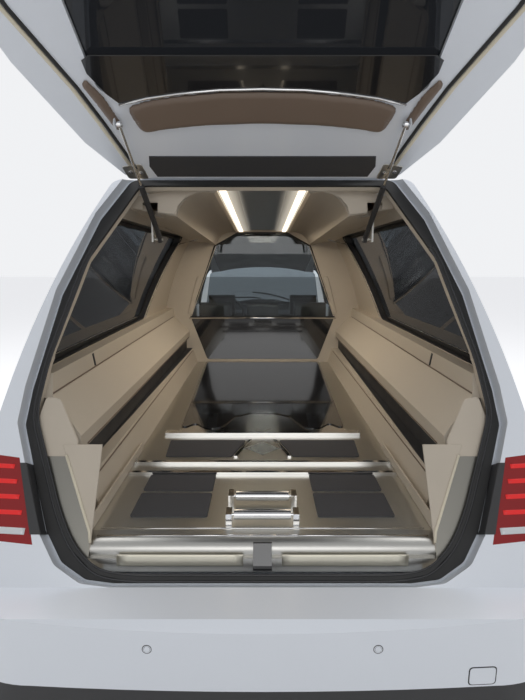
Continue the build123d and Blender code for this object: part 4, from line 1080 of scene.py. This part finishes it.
# %% Window surrounds and belt lines
BESIDE, BELT_HEIGHT, BELT_REAR, BELT_FRONT = 2.0, 0.974, 0.03, 0.02
DOOR_WINDOWS = {"front": [(3.748, 0.998), (4.590, 0.998), (4.125, 1.340), (3.748, 1.383)],
                "rear": [(2.848, 0.998), (3.607, 0.998), (3.607, 1.386), (2.848, 1.403)]}
for side, sign in SIDES:
    for row, window in DOOR_WINDOWS.items():
        door, inward = f"door_{row}_{side}", (-sign, 0, 0)
        door_tree = surface(door)
        draped(f"window surround {row} {side}", door_tree,
               [at(sign * BESIDE, station, z) for station, z in rounded(window, 0.03)], inward, 0.020, 0.002,
               black_plastic, door, closed=True)
        belt = (window[0][0] - BELT_REAR, window[1][0] + BELT_FRONT)
        draped(f"belt line {row} {side}", door_tree, [at(sign * BESIDE, station, BELT_HEIGHT) for station in belt],
               inward, 0.014, 0.003, chrome, door)
print("surrounds and belt lines on", len(CORNERS), "doors")

# %% [markdown]
# ## Wheels
# The tyres get a real cross-section: bead, bulged wall, shoulder and a tread with four ribs, cut across by sipes. Each
# rim gets five bolts, which are turned parts with six sides.

# %% Tyres
TREAD = [(0.0, 0.244), (0.018, 0.252), (0.006, 0.266), (0.0, 0.285), (0.004, 0.305), (0.012, 0.318), (0.022, 0.327),
         (0.034, 0.3315), (0.060, 0.3335), (0.061, 0.3265), (0.067, 0.3265), (0.068, 0.3342), (0.096, 0.3348),
         (0.097, 0.3270), (0.104, 0.3270), (0.105, 0.3350)]
TYRE_RADIUS, TREAD_START, SIPE_DEPTH, SIPE_EVERY, TYRE_TURNS = 0.3350, 0.328, 0.005, 3, 120
BEAD_INSET, BEAD_RADIUS = 0.020, 0.2405


def around(centre, x, radius, angle):
    """A place on a circle about a wheel's axle."""
    return centre + Vector((x, radius * math.cos(angle), radius * math.sin(angle)))


def make_tyre(node, body):
    """A treaded tyre in the place of a CAD node; gives the wheel's centre."""
    low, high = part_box(node)
    centre, half_width = (low + high) / 2, (high.x - low.x) / 2
    section = [(x - half_width, r) for x, r in TREAD] + [(half_width - x, r) for x, r in reversed(TREAD)]
    section += [(half_width - BEAD_INSET, BEAD_RADIUS), (BEAD_INSET - half_width, BEAD_RADIUS)]
    points = []
    for k in range(TYRE_TURNS):
        sipe = SIPE_DEPTH if k % SIPE_EVERY == 0 else 0.0
        points += [around(centre, x, min(radius, TYRE_RADIUS) - (sipe if radius > TREAD_START else 0.0),
                          2 * math.pi * k / TYRE_TURNS) for x, radius in section]
    piece = build(f"dressed {node}", points, shell(TYRE_TURNS, len(section), looped=True), tyre_rubber, body)
    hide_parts(node)
    return centre


# %% Bolts on the rims
BOLTS, BOLT_TURN, BOLT_CIRCLE, ASIDE = 5, 0.25, 0.056, 0.3
BOLT = [(0.0095, -0.001), (0.0095, 0.008), (0.0075, 0.010), (0.004, 0.010)]
for row, side, sign in CORNERS:
    body = f"wheel_{row}_{side}"
    centre = make_tyre(f"tyre_{row}_{side}", body)
    hub_tree = surface(f"rim_{row}_{side}")
    inward, outward = Vector((-sign, 0, 0)), (sign, 0, 0)
    for k in range(BOLTS):
        start = around(centre, sign * ASIDE, BOLT_CIRCLE, 2 * math.pi * (k + BOLT_TURN) / BOLTS)
        hit, _, _, _ = hub_tree.ray_cast(start, inward)
        disc(f"wheel bolt {body} {k}", hit, outward, BOLT, dark_iron, body, 6)
print("wheels dressed:", len(CORNERS))

# %% [markdown]
# ## A warm lamp in the bay
# The two light strips are too thin to light the bay by themselves in a short render, so a soft lamp sits under the
# ceiling between them and shines down.

# %% Lamp under the ceiling
BAY_MIDDLE = 1.75
bay_lamp = add_lamp("lamp_bay", at(0, BAY_MIDDLE, 1.69), at(0, BAY_MIDDLE, 0.7), 9, (0.26, 1.5), (1.0, 0.90, 0.76))
bay_lamp.visible_camera = False
bay_lamp.visible_glossy = False
